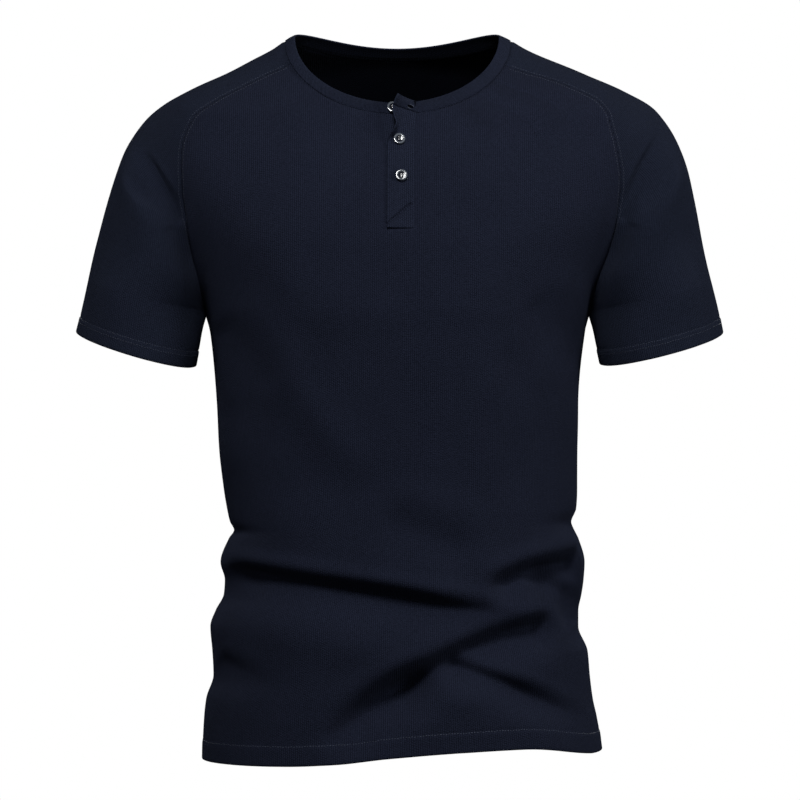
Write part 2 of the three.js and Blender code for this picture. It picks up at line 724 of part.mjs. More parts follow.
const slitCorner = { left: frontGrid[0][frontColumns.left], right: frontGrid[0][stripEnd] };
const overGrid = flapGrid(overFlapPoint, () => slitCorner.right.z);
const underGrid = flapGrid(underFlapPoint, (share) => neckSeamZ(slitCorner.left.x + share * flap.width));
overGrid[0][0].copy(slitCorner.right);
underGrid[0][0].copy(slitCorner.left);
const overFlap = new Cloth('placket_over', flapWall, materials.trim);
overFlap.grid(overGrid, true);
const underFlap = new Cloth('placket_under', knitWall, materials.trim);
underFlap.grid(underGrid, false);

// The neck binding runs from the inner flap's free end round the neck to the outer flap's corner.
function bindingLift(start, end, row) {
  const share = row / bindingRows;
  const bulge = bindingBulge * Math.sin(Math.PI * share);
  const point = start.clone().lerp(end, share);
  return point.addScaledVector(new THREE.Vector3(point.x, point.y - sideSeamY, 0).normalize(), bulge);
}

const frontSlope = bindingTop(slitCorner.left).sub(slitCorner.left);
const bindingPath = [];
for (let c = flap.columns; c > 0; c -= 1) {
  const start = underGrid[0][c];
  bindingPath.push([start, start.clone().add(new THREE.Vector3(0, frontSlope.y, frontSlope.z))]);
}
const ring = [
  ...frontGrid[0].slice(0, frontColumns.left + 1).reverse(),
  ...sleeveGrids.left[0].slice(1),
  ...backGrid[0].slice(1),
  ...[...sleeveGrids.right[0]].reverse().slice(1),
  ...frontGrid[0].slice(stripEnd, -1).reverse(),
];
for (const start of ring) bindingPath.push([start, bindingTop(start)]);
for (let c = 1; c <= flap.columns; c += 1) {
  const start = overGrid[0][c];
  const lean = (flap.cornerLean * c) / flap.columns;
  bindingPath.push([start, start.clone().add(new THREE.Vector3(lean, frontSlope.y, frontSlope.z))]);
}
const bindingGrid = Array.from({ length: bindingRows + 1 }, (_, row) =>
  bindingPath.map(([start, end]) => bindingLift(start, end, bindingRows - row)));
const binding = new Cloth('neck_binding', bindingWall, materials.trim);
binding.grid(bindingGrid, true);

const cloths = [front, back, ...sleeves, overFlap, underFlap, binding];
const seamNormals = new Map();
for (const cloth of cloths) {
  cloth.pointNormals().forEach((normal, i) => {
    const key = cloth.keys[i];
    if (!seamNormals.has(key)) seamNormals.set(key, new THREE.Vector3());
    seamNormals.get(key).add(normal);
  });
}

// A button, with its seat at the origin and its face along +Z.
function toManifold(geometry) {
  const merged = new Map();
  const corners = [];
  const position = geometry.getAttribute('position');
  const index = geometry.getIndex();
  const ids = Array.from({ length: position.count }, (_, i) => {
    const xyz = [position.getX(i), position.getY(i), position.getZ(i)].map((v) => Math.round(v * 1e5) / 1e5);
    const key = xyz.map((v) => v + 0).join();
    if (!merged.has(key)) {
      merged.set(key, corners.length / 3);
      corners.push(...xyz);
    }
    return merged.get(key);
  });
  const triangles = [];
  for (let i = 0; i < index.count; i += 3) {
    const face = [0, 1, 2].map((k) => ids[index.getX(i + k)]);
    if (new Set(face).size === 3) triangles.push(...face);
  }
  return new wasm.Manifold(new wasm.Mesh({
    numProp: 3,
    vertProperties: new Float32Array(corners),
    triVerts: new Uint32Array(triangles),
  }));
}

function buttonGeometry() {
  const { radius, thickness, edgeRound, wellRadius, wellSlope, wellDepth, holeRadius, holeSpread } = button;
  const profile = [
    [0, 0], [radius - edgeRound, 0], [radius, edgeRound],
    [radius, thickness - edgeRound], [radius - edgeRound, thickness],
    [wellRadius + wellSlope, thickness], [wellRadius, thickness - wellDepth], [0, thickness - wellDepth],
  ].map(([r, h]) => new THREE.Vector2(r, h));
  let body = toManifold(new THREE.LatheGeometry(profile, button.sides).rotateX(Math.PI / 2));
  for (const x of [-holeSpread, holeSpread]) {
    for (const y of [-holeSpread, holeSpread]) {
      const drill = new THREE.CylinderGeometry(holeRadius, holeRadius, 3 * thickness, button.holeSides);
      body = body.subtract(toManifold(drill.rotateX(Math.PI / 2).translate(x, y, 0)));
    }
  }
  const mesh = body.getMesh();
  const geometry = new THREE.BufferGeometry();
  geometry.setAttribute('position', new THREE.BufferAttribute(new Float32Array(mesh.vertProperties), 3));
  geometry.setIndex([...mesh.triVerts]);
  geometry.computeVertexNormals();
  return geometry;
}

// Where a button sits: the top one on the left end of the binding, the others on the outer flap.
function seatFrame(x, z, at) {
  const step = 2;
  const here = at(x, z);
  const acrossWay = at(x + step, z).sub(at(x - step, z));
  const upWay = at(x, z + step).sub(at(x, z - step));
  const out = acrossWay.cross(upWay).normalize();
  return { seat: here.addScaledVector(out, buttonClearance), out };
}

function onOverFlap(x, z) {
  return overFlapPoint(z, (slitRight(z) - x) / flap.width);
}

function onUnderBinding(x, z) {
  const [a, b] = [bindingPath[flap.columns - 1], bindingPath[flap.columns - 3]];
  const share = (x - a[0].x) / (b[0].x - a[0].x);
  const low = a[0].clone().lerp(b[0], share);
  const high = a[1].clone().lerp(b[1], share);
  const height = (z - low.z) / (high.z - low.z);
  return low.lerp(high, height).add(new THREE.Vector3(0, -bindingBulge * Math.sin(Math.PI * height), 0));
}

const shirt = new THREE.Group();
for (const cloth of cloths) {
  const mesh = new THREE.Mesh(wallGeometry(cloth, seamNormals), cloth.material);
  mesh.name = cloth.name;
  shirt.add(mesh);
}
buttonSeats.forEach(({ x, z }, i) => {
  const { seat, out } = seatFrame(x, z, i === 0 ? onUnderBinding : onOverFlap);
  const mesh = new THREE.Mesh(buttonGeometry(), materials.button);
  mesh.name = `button_${i + 1}`;
  mesh.position.copy(seat);
  mesh.quaternion.setFromUnitVectors(new THREE.Vector3(0, 0, 1), out);
  shirt.add(mesh);
});

export default shirt;
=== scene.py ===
import math

import bmesh
import bpy
import numpy as np
from mathutils import Matrix, Vector


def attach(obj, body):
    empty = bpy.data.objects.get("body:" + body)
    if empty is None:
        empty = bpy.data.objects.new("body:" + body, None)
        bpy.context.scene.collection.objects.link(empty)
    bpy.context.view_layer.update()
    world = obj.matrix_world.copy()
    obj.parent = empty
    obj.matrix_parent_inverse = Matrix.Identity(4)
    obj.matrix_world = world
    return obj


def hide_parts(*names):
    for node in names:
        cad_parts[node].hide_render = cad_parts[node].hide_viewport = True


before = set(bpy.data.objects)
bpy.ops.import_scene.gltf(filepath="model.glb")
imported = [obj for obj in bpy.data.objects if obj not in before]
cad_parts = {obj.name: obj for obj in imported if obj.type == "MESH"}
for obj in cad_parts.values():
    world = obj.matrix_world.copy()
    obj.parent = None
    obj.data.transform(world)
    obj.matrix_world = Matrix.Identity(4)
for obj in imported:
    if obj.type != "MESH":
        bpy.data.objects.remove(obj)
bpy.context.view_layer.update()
print("frame loaded:", len(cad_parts), "nodes")

# Shapes are worked out in millimetres and stored in metres.
mm = 0.001
closeSteps = 400  # in a run of points that is spaced out again later
rimSteps = 4  # round a piece of cloth's edge


def table(columns, rows):
    return {name: np.array([row[i] for row in rows], float) for i, name in enumerate(columns)}


def smoothstep(start, end, value):
    t = np.clip((np.asarray(value, float) - start) / (end - start), 0, 1)
    return t * t * (3 - 2 * t)


def hump(value, centre, width):
    return np.exp(-(((value - centre) / width) ** 2))


def unit(vectors):
    return vectors / np.maximum(np.linalg.norm(vectors, axis=-1, keepdims=True), 1e-9)


def through(rows, column, output):
    # A smooth function through a table's rows that never swings past them.
    order = np.argsort(rows[column])
    at = rows[column][order]
    value = rows[output][order]
    rise = np.diff(value) / np.diff(at)
    before = np.concatenate([rise[:1], rise])
    after = np.concatenate([rise, rise[-1:]])
    sameWay = before * after > 0
    slope = np.where(sameWay, 2 * before * after / np.where(sameWay, before + after, 1), 0)

    def read(x):
        x = np.clip(x, at[0], at[-1])
        i = np.clip(np.searchsorted(at, x, side="right") - 1, 0, len(at) - 2)
        span = at[i + 1] - at[i]
        t = (x - at[i]) / span
        ends = value[i] * (1 + 2 * t) * (1 - t) ** 2 + value[i + 1] * t * t * (3 - 2 * t)
        return ends + span * t * (1 - t) * (slope[i] * (1 - t) - slope[i + 1] * t)

    return read


def spaced(points, count):
    # Points spaced evenly along a run of close points.
    reach = np.concatenate([[0], np.cumsum(np.linalg.norm(np.diff(points, axis=0), axis=1))])
    at = np.linspace(0, reach[-1], count + 1)
    return np.stack([np.interp(at, reach, points[:, k]) for k in range(points.shape[1])], axis=1)


def smoothLine(points, count):
    # A centripetal spline through the points.
    points = np.asarray(points, float)
    last = len(points) - 1
    first = 2 * points[0] - points[1]
    after = 2 * points[-1] - points[-2]
    held = np.vstack([first, points, after])
    at = np.linspace(0, last, count + 1)
    i = np.minimum(at.astype(int), last - 1)
    t = (at - i)[:, None]
    p0, p1, p2, p3 = held[i], held[i + 1], held[i + 2], held[i + 3]
    d0, d1, d2 = (np.sqrt(np.linalg.norm(step, axis=1))[:, None] for step in (p1 - p0, p2 - p1, p3 - p2))
    m1 = d1 * ((p1 - p0) / d0 - (p2 - p0) / (d0 + d1) + (p2 - p1) / d1)
    m2 = d1 * ((p2 - p1) / d1 - (p3 - p1) / (d1 + d2) + (p3 - p2) / d2)
    bend = (-3 * p1 + 3 * p2 - 2 * m1 - m2) * t**2 + (2 * p1 - 2 * p2 + m1 + m2) * t**3
    return p1 + m1 * t + bend


# The body's own cut and stance. Sections: half widths from x = 0, and depths from y = 0.
body = {
    "roundness": 2.3,
    "waist": {"from": -450, "to": -590, "kept": -510},
    "nicksFrom": 0.7,
    "nicksTo": 0.99,
    "creasesTo": 0.94,
    "sideSeamY": 5,
    "armpitZ": -265,
    "raglanRows": 112,
    "sideColumns": 64,
    "stripColumns": 12,
    "backColumns": 136,
    "arcSteps": 48,
    "wall": 1.6,
    "hemDepth": 17.5,
    "hemExtra": 1.2,
    "sections": table(["z", "left", "right", "front", "back"], [
        [-4, 113, 109, 27, 47], [-14, 125, 125, 34, 64], [-25, 147, 151, 42, 76],
        [-38, 172, 178, 52, 83], [-52, 200, 214, 63, 89], [-67, 228, 241, 74, 95],
        [-82, 244, 250, 84, 101], [-100, 246, 250, 92, 106], [-130, 240, 243, 105, 113],
        [-170, 224, 226, 117, 118], [-210, 207, 206, 124, 118], [-265, 188, 183, 125, 114],
        [-295, 183, 178, 122, 109], [-353, 178, 173, 116, 101], [-404, 175, 172, 112, 96],
        [-440, 171, 172, 110, 94], [-458, 168, 171, 110, 94], [-471, 165, 166, 111, 95],
        [-479, 161, 169, 111, 95], [-487, 166, 173, 112, 96], [-510, 174, 179, 112, 98],
        [-527, 170, 178, 112, 99], [-541, 171, 176, 112, 101], [-557, 179, 173, 112, 102],
        [-572, 184, 173, 113, 103], [-596, 182, 182, 114, 105], [-619, 181, 184, 114, 105],
        [-642, 188, 187, 114, 106], [-660, 190, 191, 115, 107], [-705, 192, 198, 116, 108],
    ]),
    "rowBands": [(-265, -470, 56), (-470, -650, 78), (-650, -700, 24)],
    "hemLiftFrom": -560,
    "levelHemZ": -700,
    "hemFront": table(["x", "z"], [
        [-190, -699], [-110, -697.5], [-60, -694.5], [-10, -688.5],
        [60, -683.5], [120, -681.5], [185, -690],
    ]),
    "hemBack": table(["x", "z"], [[-190, -699], [0, -697], [185, -690]]),
}

leftHalf = through(body["sections"], "z", "left")
rightHalf = through(body["sections"], "z", "right")
# Away from the sides the waist's small nicks die out.
level, waist = body["sections"]["z"], body["waist"]
calm = (level > waist["from"]) | (level < waist["to"]) | (level == waist["kept"])
calmSections = {name: column[calm] for name, column in body["sections"].items()}
leftCalm = through(calmSections, "z", "left")
rightCalm = through(calmSections, "z", "right")
frontReach = through(calmSections, "z", "front")
backReach = through(calmSections, "z", "back")
hemHeight = {"front": through(body["hemFront"], "x", "z"), "back": through(body["hemBack"], "x", "z")}
facing = {"front": -1, "back": 1}
sideSign = {"left": -1, "right": 1}

# A crease: the three points that bend its line, its depth, its width above and below that line, the height
# of the ridges beside it, and the shares of its length over which it fades in and out.
creaseColumns = ["x1", "z1", "x2", "z2", "x3", "z3", "depth", "above", "below", "lift", "fadeIn", "fadeOut"]
creaseLook = {
    "lineSteps": 24,
    "reach": 4.5,
    "ridgeAt": 2.1,
    "ridgeWidth": 0.9,
    "heldColumns": 6,
    "heldRows": 4,
    "front": [
        [-176, -516, -36, -533, 126, -562, 13.5, 8, 24, 3, 0.13, 0.32],
        [80, -538, 117, -514, 174, -508, 14, 9, 16, 3, 0.32, 0.05],
        [120, -520, 158, -526, 180, -562, 14.5, 12, 19, 0.5, 0.4, 0.05],
        [152, -563, 50, -584, -68, -664, 17, 10, 19, 2, 0.1, 0.4],
        [36, -604, -20, -634, -80, -686, 16, 12, 28, 1, 0.35, 0.35],
        [40, -601, 112, -621, 191, -668, 9.5, 7, 15, 1.5, 0.1, 0.5],
        [-176, -602, -150, -613, -116, -624, 3, 9, 15, 1, 0.12, 0.7],
        [-30, -462, 24, -480, 84, -508, 4, 16, 22, 2, 0.3, 0.3],
        [120, -256, 150, -280, 178, -330, 3, 18, 18, 1.5, 0.22, 0.22],
        [-152, -330, -110, -400, -50, -462, 1.4, 20, 22, 2, 0.22, 0.22],
        [-176, -276, -150, -300, -120, -350, 3, 16, 18, 1.5, 0.22, 0.22],
    ],
    "back": [
        [160, -508, 40, -540, -120, -528, 13, 10, 24, 7, 0.22, 0.22],
        [-150, -560, -40, -590, 90, -650, 9, 10, 20, 5, 0.22, 0.22],
        [120, -560, 60, -600, -10, -612, 7, 11, 16, 4, 0.22, 0.22],
        [-140, -462, -60, -474, 40, -462, 6, 14, 18, 3, 0.22, 0.22],
        [-176, -276, -140, -310, -110, -370, 6, 14, 16, 4, 0.22, 0.22],
        [172, -276, 140, -306, 108, -360, 6, 14, 16, 4, 0.22, 0.22],
    ],
    "leftFront": [[-250, -110, -225, -140, -205, -182, 5.5, 2.6, 8, 1.8, 0.45, 0.02]],
    "leftBack": [[-256, -120, -226, -160, -202, -206, 8, 10, 12, 4, 0.22, 0.22]],
    "rightFront": [[250, -96, 227, -131, 207, -180, 5.5, 2.6, 8, 1.8, 0.45, 0.02]],
    "rightBack": [[256, -120, 226, -160, 202, -206, 8, 10, 12, 4, 0.22, 0.22]],
}


def bodyHalf(x, z):
    return np.where(np.asarray(x) < 0, leftHalf(z), rightHalf(z))


def bodyDepth(z, face):
    if face == "front":
        return frontReach(z) + body["sideSeamY"]
    return backReach(z) - body["sideSeamY"]


def bodyY(x, z, face):
    power = body["roundness"]
    half = bodyHalf(x, z)
    calmHalf = np.where(np.asarray(x) < 0, leftCalm(z), rightCalm(z))
    half = calmHalf + (half - calmHalf) * smoothstep(body["nicksFrom"], body["nicksTo"], np.abs(x) / half)
    share = np.minimum(1, np.abs(x) / half)
    return body["sideSeamY"] + facing[face] * bodyDepth(z, face) * (1 - share**power) ** (1 / power)


def bodyNormal(x, z, face):
    power = body["roundness"]
    step = 0.5
    half = bodyHalf(x, z)
    depth = bodyDepth(z, face)
    across = np.minimum(1, np.abs(x) / half)
    forward = (1 - across**power) ** (1 / power)
    halfSlope = (bodyHalf(x, z + step) - bodyHalf(x, z - step)) / (2 * step)
    depthSlope = (bodyDepth(z + step, face) - bodyDepth(z - step, face)) / (2 * step)
    widthPart = across ** (power - 1) / half
    depthPart = forward ** (power - 1) / depth
    up = -(widthPart * across * halfSlope + depthPart * forward * depthSlope)
    return unit(np.stack([np.sign(x) * widthPart, facing[face] * depthPart, up], axis=-1))


def creaseHeight(rows, x, z):
    height = np.zeros(np.shape(x))
    for row in rows:
        crease = dict(zip(creaseColumns, row))
        t = np.linspace(0, 1, creaseLook["lineSteps"] + 1)
        lineX = (1 - t) ** 2 * crease["x1"] + 2 * t * (1 - t) * crease["x2"] + t * t * crease["x3"]
        lineZ = (1 - t) ** 2 * crease["z1"] + 2 * t * (1 - t) * crease["z2"] + t * t * crease["z3"]
        reach = creaseLook["reach"] * max(crease["above"], crease["below"])
        near = (x > lineX.min() - reach) & (x < lineX.max() + reach)
        near &= (z > lineZ.min() - reach) & (z < lineZ.max() + reach)
        px, pz = x[near], z[near]
        nearest = np.full(px.shape, np.inf)
        along = np.zeros(px.shape)
        side = np.ones(px.shape)
        for i in range(len(t) - 1):
            dx, dz = lineX[i + 1] - lineX[i], lineZ[i + 1] - lineZ[i]
            s = np.clip(((px - lineX[i]) * dx + (pz - lineZ[i]) * dz) / (dx * dx + dz * dz), 0, 1)
            gap = np.hypot(px - lineX[i] - s * dx, pz - lineZ[i] - s * dz)
            closer = gap < nearest
            nearest = np.where(closer, gap, nearest)
            along = np.where(closer, (i + s) / (len(t) - 1), along)
            over = np.sign((dx * (pz - lineZ[i]) - dz * (px - lineX[i])) * dx)
            side = np.where(closer, over, side)
        fade = smoothstep(0, crease["fadeIn"], along) * smoothstep(1, 1 - crease["fadeOut"], along)
        width = np.where(side > 0, crease["above"], crease["below"])
        trough = -crease["depth"] * hump(nearest, 0, width)
        ridge = hump(nearest, creaseLook["ridgeAt"] * width, creaseLook["ridgeWidth"] * width)
        height[near] += fade * (trough + crease["lift"] * ridge)
    return height


def bodyPoint(x, z, face, offset=0):
    x, z = np.broadcast_arrays(np.asarray(x, float), np.asarray(z, float))
    point = np.stack([x, bodyY(x, z, face), z], axis=-1)
    nearSeam = smoothstep(1, body["creasesTo"], np.abs(x) / bodyHalf(x, z))
    relief = creaseHeight(creaseLook[face], np.atleast_1d(x), np.atleast_1d(z)).reshape(x.shape)
    return point + bodyNormal(x, z, face) * (relief * nearSeam + offset)[..., None]


# The neck seam and the binding's free edge, and where the raglan seams meet them.
neck = {
    "seam": {
        "x": -2, "z": -4, "halfWidth": 110, "frontDrop": 77.5, "frontReach": 88.3,
        "backReach": 64, "backRise": 0, "backDrop": 13, "backPower": 2,
    },
    "edge": {
        "x": -3, "z": 1, "halfWidth": 100, "frontDrop": 72.3, "frontReach": 83.4,
        "backReach": 59, "backRise": 12, "backDrop": 19.4, "backPower": 2.5,
    },
    "planPower": 0.66,
    "dipFade": 1.4,
    "turns": {"frontLeft": 160, "frontRight": 21, "backLeft": 211, "backRight": 329},
}


def neckPoint(curve, degrees):
    degrees = np.mod(np.asarray(degrees, float), 360)
    turn = np.radians(degrees)
    sine = np.abs(np.sin(turn))
    x = curve["x"] + curve["halfWidth"] * np.cos(turn)
    isFront = degrees <= 180
    frontY = body["sideSeamY"] - curve["frontReach"] * sine ** neck["planPower"]
    backY = body["sideSeamY"] + curve["backReach"] * sine
    frontZ = curve["z"] - curve["frontDrop"] * sine
    backZ = curve["z"] + curve["backRise"] * sine - curve["backDrop"] * sine ** curve["backPower"]
    return np.stack([x, np.where(isFront, frontY, backY), np.where(isFront, frontZ, backZ)], axis=-1)


def bindingTop(points):
    cosine = np.clip((points[..., 0] - neck["seam"]["x"]) / neck["seam"]["halfWidth"], -1, 1)
    degrees = np.degrees(np.arccos(cosine))
    return neckPoint(neck["edge"], np.where(points[..., 1] < body["sideSeamY"], degrees, 360 - degrees))


# Raglan seams seen from the front, from the neck to the armpit, and the sleeves' outer lines.
raglan = {
    "unrollRadius": 150,
    "lineSteps": 480,
    "frontLeft": [
        [-132, -43], [-157, -56], [-180, -69], [-198, -84], [-205, -98], [-209, -118],
        [-209, -141], [-208, -159], [-205, -178], [-200, -212], [-193, -240],
    ],
    "frontRight": [
        [118, -38], [149, -47], [172, -57], [190, -67], [200, -84], [206, -107],
        [210, -129], [211, -150], [208, -175], [200, -210], [190, -238],
    ],
    "backLeft": [
        [-128, -32], [-156, -50], [-179, -71], [-192, -98],
        [-198, -134], [-200, -170], [-197, -212], [-191, -240],
    ],
    "backRight": [
        [122, -30], [150, -45], [174, -62], [189, -90],
        [198, -130], [200, -170], [195, -212], [187, -240],
    ],
}
sleeve = {
    "columns": 168,
    "lineSteps": 600,
    "curveSteps": 96,
    "cuffRows": 34,
    "levelAtArmpit": -240,
    "outer": {
        "left": [
            [-112, -4], [-122, -11.5], [-144, -23], [-172, -37.5], [-203, -52.5],
            [-229, -67], [-247, -81.5], [-262, -103], [-275, -133], [-286, -167],
            [-295, -202], [-303, -238], [-313.5, -285],
        ],
        "right": [
            [108, -4], [122, -11.5], [148, -23], [181, -37.5], [216, -52], [243, -67], [256, -81.5],
            [267, -99], [277, -126], [285, -158], [294, -202], [302.5, -240], [313, -286],
        ],
    },
    "innerCuff": {"left": (-198, -319), "right": (194, -317)},
    "cuffDroop": 0.12,
    "reach": {"front": -60, "back": 69},
    "reachedFrom": 0.5,
    "reachedTo": 0.85,
    "tuckFrom": 0.3,
    "tuckedOut": 0.22,
    "tuckedDown": 0.05,
    "easedBy": 0.9,
    "neckBlend": 5 / 13,
    "wall": 1.6,
    "hemDepth": 14.5,
    "hemExtra": 1.0,
    "seamHold": 2.5,
}


def raglanSeam(sideName, face):
    side = sideSign[sideName]
    label = face + sideName.capitalize()
    power = body["roundness"]
    start = neckPoint(neck["seam"], neck["turns"][label])
    flat = []
    for x, z in [(start[0], start[2]), *raglan[label]]:
        turn = math.acos(min(1, abs(x) / float(bodyHalf(x, z))) ** (power / 2))
        flat.append([turn * raglan["unrollRadius"], z])
    flat.append([0, body["armpitZ"]])
    line = smoothLine(flat, raglan["lineSteps"])
    turn = np.clip(line[:, 0] / raglan["unrollRadius"], 0, math.pi / 2)
    z = line[:, 1]
    x = side * bodyHalf(side, z) * np.cos(turn) ** (2 / power)
    y = body["sideSeamY"] + facing[face] * bodyDepth(z, face) * np.sin(turn) ** (2 / power)
    points = np.stack([x, y, z], axis=1)
    points[0] = start
    return spaced(points, body["raglanRows"])


seams = {face: {side: raglanSeam(side, face) for side in ("left", "right")} for face in ("front", "back")}


def levelAt(level, x, face):
    low = smoothstep(body["hemLiftFrom"], body["levelHemZ"], level)
    return level + (hemHeight[face](x) - body["levelHemZ"]) * low


def sidePoint(level, sideName):
    side = sideSign[sideName]
    z = float(levelAt(level, side * bodyHalf(side, level), "front"))
    return np.array([side * float(bodyHalf(side, z)), body["sideSeamY"], z])


def raglanHeight(row, face):
    left, right = seams[face]["left"][row], seams[face]["right"][row]
    endSine = abs(math.sin(math.radians(neck["turns"][face + "Left"])))
    endCosine = math.sqrt(1 - endSine**2)
    power = 1 if face == "front" else neck["seam"]["backPower"]
    drop = neck["seam"][face + "Drop"]
    dip = drop * (1 - endSine**power) * (1 - row / body["raglanRows"]) ** neck["dipFade"]

    def read(x):
        share = np.clip((x - left[0]) / (right[0] - left[0]), 0, 1)
        sine = np.sqrt(1 - (endCosine * (2 * share - 1)) ** 2)
        scoop = (sine**power - endSine**power) / (1 - endSine**power)
        return left[2] + (right[2] - left[2]) * share - dip * scoop

    return read


def plainRun(left, right, face, heightAt):
    # A close run of points across one face, without creases, between two seam points.
    sweep = np.sin(math.pi * (np.linspace(0, 1, closeSteps + 1) - 0.5))
    x = (left[0] + right[0]) / 2 + (right[0] - left[0]) / 2 * sweep
    z = heightAt(x)
    run = np.stack([x, bodyY(x, z, face), z], axis=1)
    run[0], run[-1] = left, right
    return run


def faceRuns(face):
    turns = np.linspace(neck["turns"][face + "Left"], neck["turns"][face + "Right"], closeSteps + 1)
    runs = [neckPoint(neck["seam"], turns)]
    for row in range(1, body["raglanRows"] + 1):
        ends = seams[face]["left"][row], seams[face]["right"][row]
        runs.append(plainRun(*ends, face, raglanHeight(row, face)))
    for start, end, rows in body["rowBands"]:
        for level in start + (end - start) * np.arange(1, rows + 1) / rows:
            ends = sidePoint(level, "left"), sidePoint(level, "right")
            runs.append(plainRun(*ends, face, lambda x, level=level: levelAt(level, x, face)))
    return runs


def creased(grid, face):
    # The grid's points moved onto the creased surface, except along its neck and seams.
    inner = grid[1:, 1:-1]
    moved = bodyPoint(inner[..., 0], inner[..., 2], face)
    columns = np.minimum(np.arange(1, grid.shape[1] - 1), np.arange(grid.shape[1] - 2, 0, -1))
    besides = smoothstep(0, creaseLook["heldColumns"], columns)[None, :, None]
    hold = besides * smoothstep(0, creaseLook["heldRows"], np.arange(1, len(grid)))[:, None, None]
    result = grid.copy()
    result[1:, 1:-1] = inner + (moved - inner) * hold
    return result


# The placket: a slit whose edges carry two flaps. The outer flap's top corner hangs open and curls.
placket = {
    "slit": table(["z", "left", "right"], [
        [-70, -18, 18], [-100, -15.5, 14], [-130, -12.2, 13.3], [-191.5, -11.9, 13.1],
    ]),
    "slitBottomZ": -191.5,
    "width": 25,
    "underWidth": 23,
    "rows": 156,
    "columns": 46,
    "cornerRise": 5.6,
    "cornerLean": 4.5,
    "riseFrom": -118,
    "riseTo": -82,
    "curl": table(["z", "degrees", "flatWidth"], [
        [-70, 62, 4], [-82, 56, 4], [-89, 78, 8], [-97, 112, 11],
        [-101.5, 105, 14], [-106, 78, 18.8], [-113, 12, 22], [-118, 0, 23], [-200, 0, 23],
    ]),
    "overStep": 1.7,
    "wall": 1.3,
    "clearance": 0.35,
}
slitLeft = through(placket["slit"], "z", "left")
slitRight = through(placket["slit"], "z", "right")
curlAt = through(placket["curl"], "z", "degrees")
flatWidthAt = through(placket["curl"], "z", "flatWidth")


def cutAt(run, edge):
    # A run, parted where it crosses the slit's edge.
    past = run[:, 0] - edge(run[:, 2])
    i = int(np.argmax(past > 0))
    share = -past[i - 1] / (past[i] - past[i - 1])
    cut = run[i - 1] + (run[i] - run[i - 1]) * share
    return np.vstack([run[:i], cut]), np.vstack([cut, run[i:]])


def makeFrontGrid():
    side, strip = body["sideColumns"], body["stripColumns"]
    rows = []
    for run in faceRuns("front"):
        left, rest = cutAt(run, slitLeft)
        middle, right = cutAt(rest, slitRight)
        rows.append(np.vstack([spaced(left, side), spaced(middle, strip)[1:-1], spaced(right, side)]))
    grid = np.array(rows)
    slitRow = int(np.argmax(grid[:, side, 2] < placket["slitBottomZ"]))
    slitEnd = grid[slitRow, side : side + strip + 1]
    slitEnd[:, 2] = placket["slitBottomZ"]
    slitEnd[:, 1] = bodyY(slitEnd[:, 0], slitEnd[:, 2], "front")
    return creased(grid, "front"), slitRow


frontGrid, slitRow = makeFrontGrid()
backGrid = creased(np.array([spaced(run, body["backColumns"]) for run in faceRuns("back")]), "back")
print("body panels laid out:", frontGrid.shape[:2], backGrid.shape[:2])


def armCurve(start, startWay, end, endWay, tucked):
    # Half of a sleeve's row, from a seam to the outer line: round, or else drawn out to the sleeve's reach.
    turn = math.acos(np.clip(-np.dot(startWay, endWay), -1, 1))
    handle = 2 / 3 * math.tan(turn / 4) / max(0.01, math.sin(turn / 2))
    length = np.linalg.norm(start - end) * handle
    if tucked > 0:
        reach = sleeve["reach"]["front" if endWay[1] < 0 else "back"]
        deep = (reach - (start[1] + end[1]) / 2) / (3 / 8 * (startWay[1] + endWay[1]))
        length += (deep - length) * tucked
    t = np.linspace(0, 1, sleeve["curveSteps"] + 1)[:, None]
    first, second = start + startWay * length, end + endWay * length
    return start * (1 - t) ** 3 + 3 * first * t * (1 - t) ** 2 + 3 * second * t * t * (1 - t) + end * t**3


def seamWay(sideName, face, row):
    # On from the body at the shoulder, and folded back beside it at the armpit.
    side = sideSign[sideName]
    seam = seams[face][sideName]
    last = body["raglanRows"]
    along = unit(seam[min(row + 1, last)] - seam[max(row - 1, 0)])
    normal = bodyNormal(seam[row][0], seam[row][2], face)
    smooth = unit(np.cross(along, normal) * side * facing[face])
    folded = unit(np.array([side * sleeve["tuckedOut"], facing[face], -sleeve["tuckedDown"]]))
    share = float(smoothstep(sleeve["tuckFrom"], 1, row / last))
    return unit(smooth + (folded - smooth) * share)


def upperSleeveRow(sideName, row, outside):
    # Above the armpit: the halves of a row, from each raglan seam to the outer line.
    tucked = float(smoothstep(sleeve["reachedFrom"], sleeve["reachedTo"], row / body["raglanRows"]))
    halves = []
    for face in ("front", "back"):
        endWay = np.array([0.0, facing[face], 0])
        seam = seams[face][sideName][row]
        halves.append(armCurve(seam, seamWay(sideName, face, row), outside, endWay, tucked))
    return halves


def lowerSleeveRow(sideName, share, inside, outside):
    # Below it: the halves start from the underarm seam, and round off towards the cuff.
    eased = float(smoothstep(0, sleeve["easedBy"], share))
    halves = []
    for face in ("front", "back"):
        droop = sleeve["cuffDroop"] * share if face == "front" else 0
        endWay = unit(np.array([0, facing[face], -droop]))
        startWay = seamWay(sideName, face, body["raglanRows"])
        startWay = unit(startWay + (endWay - startWay) * eased)
        halves.append(armCurve(inside, startWay, outside, endWay, 1))
    return halves


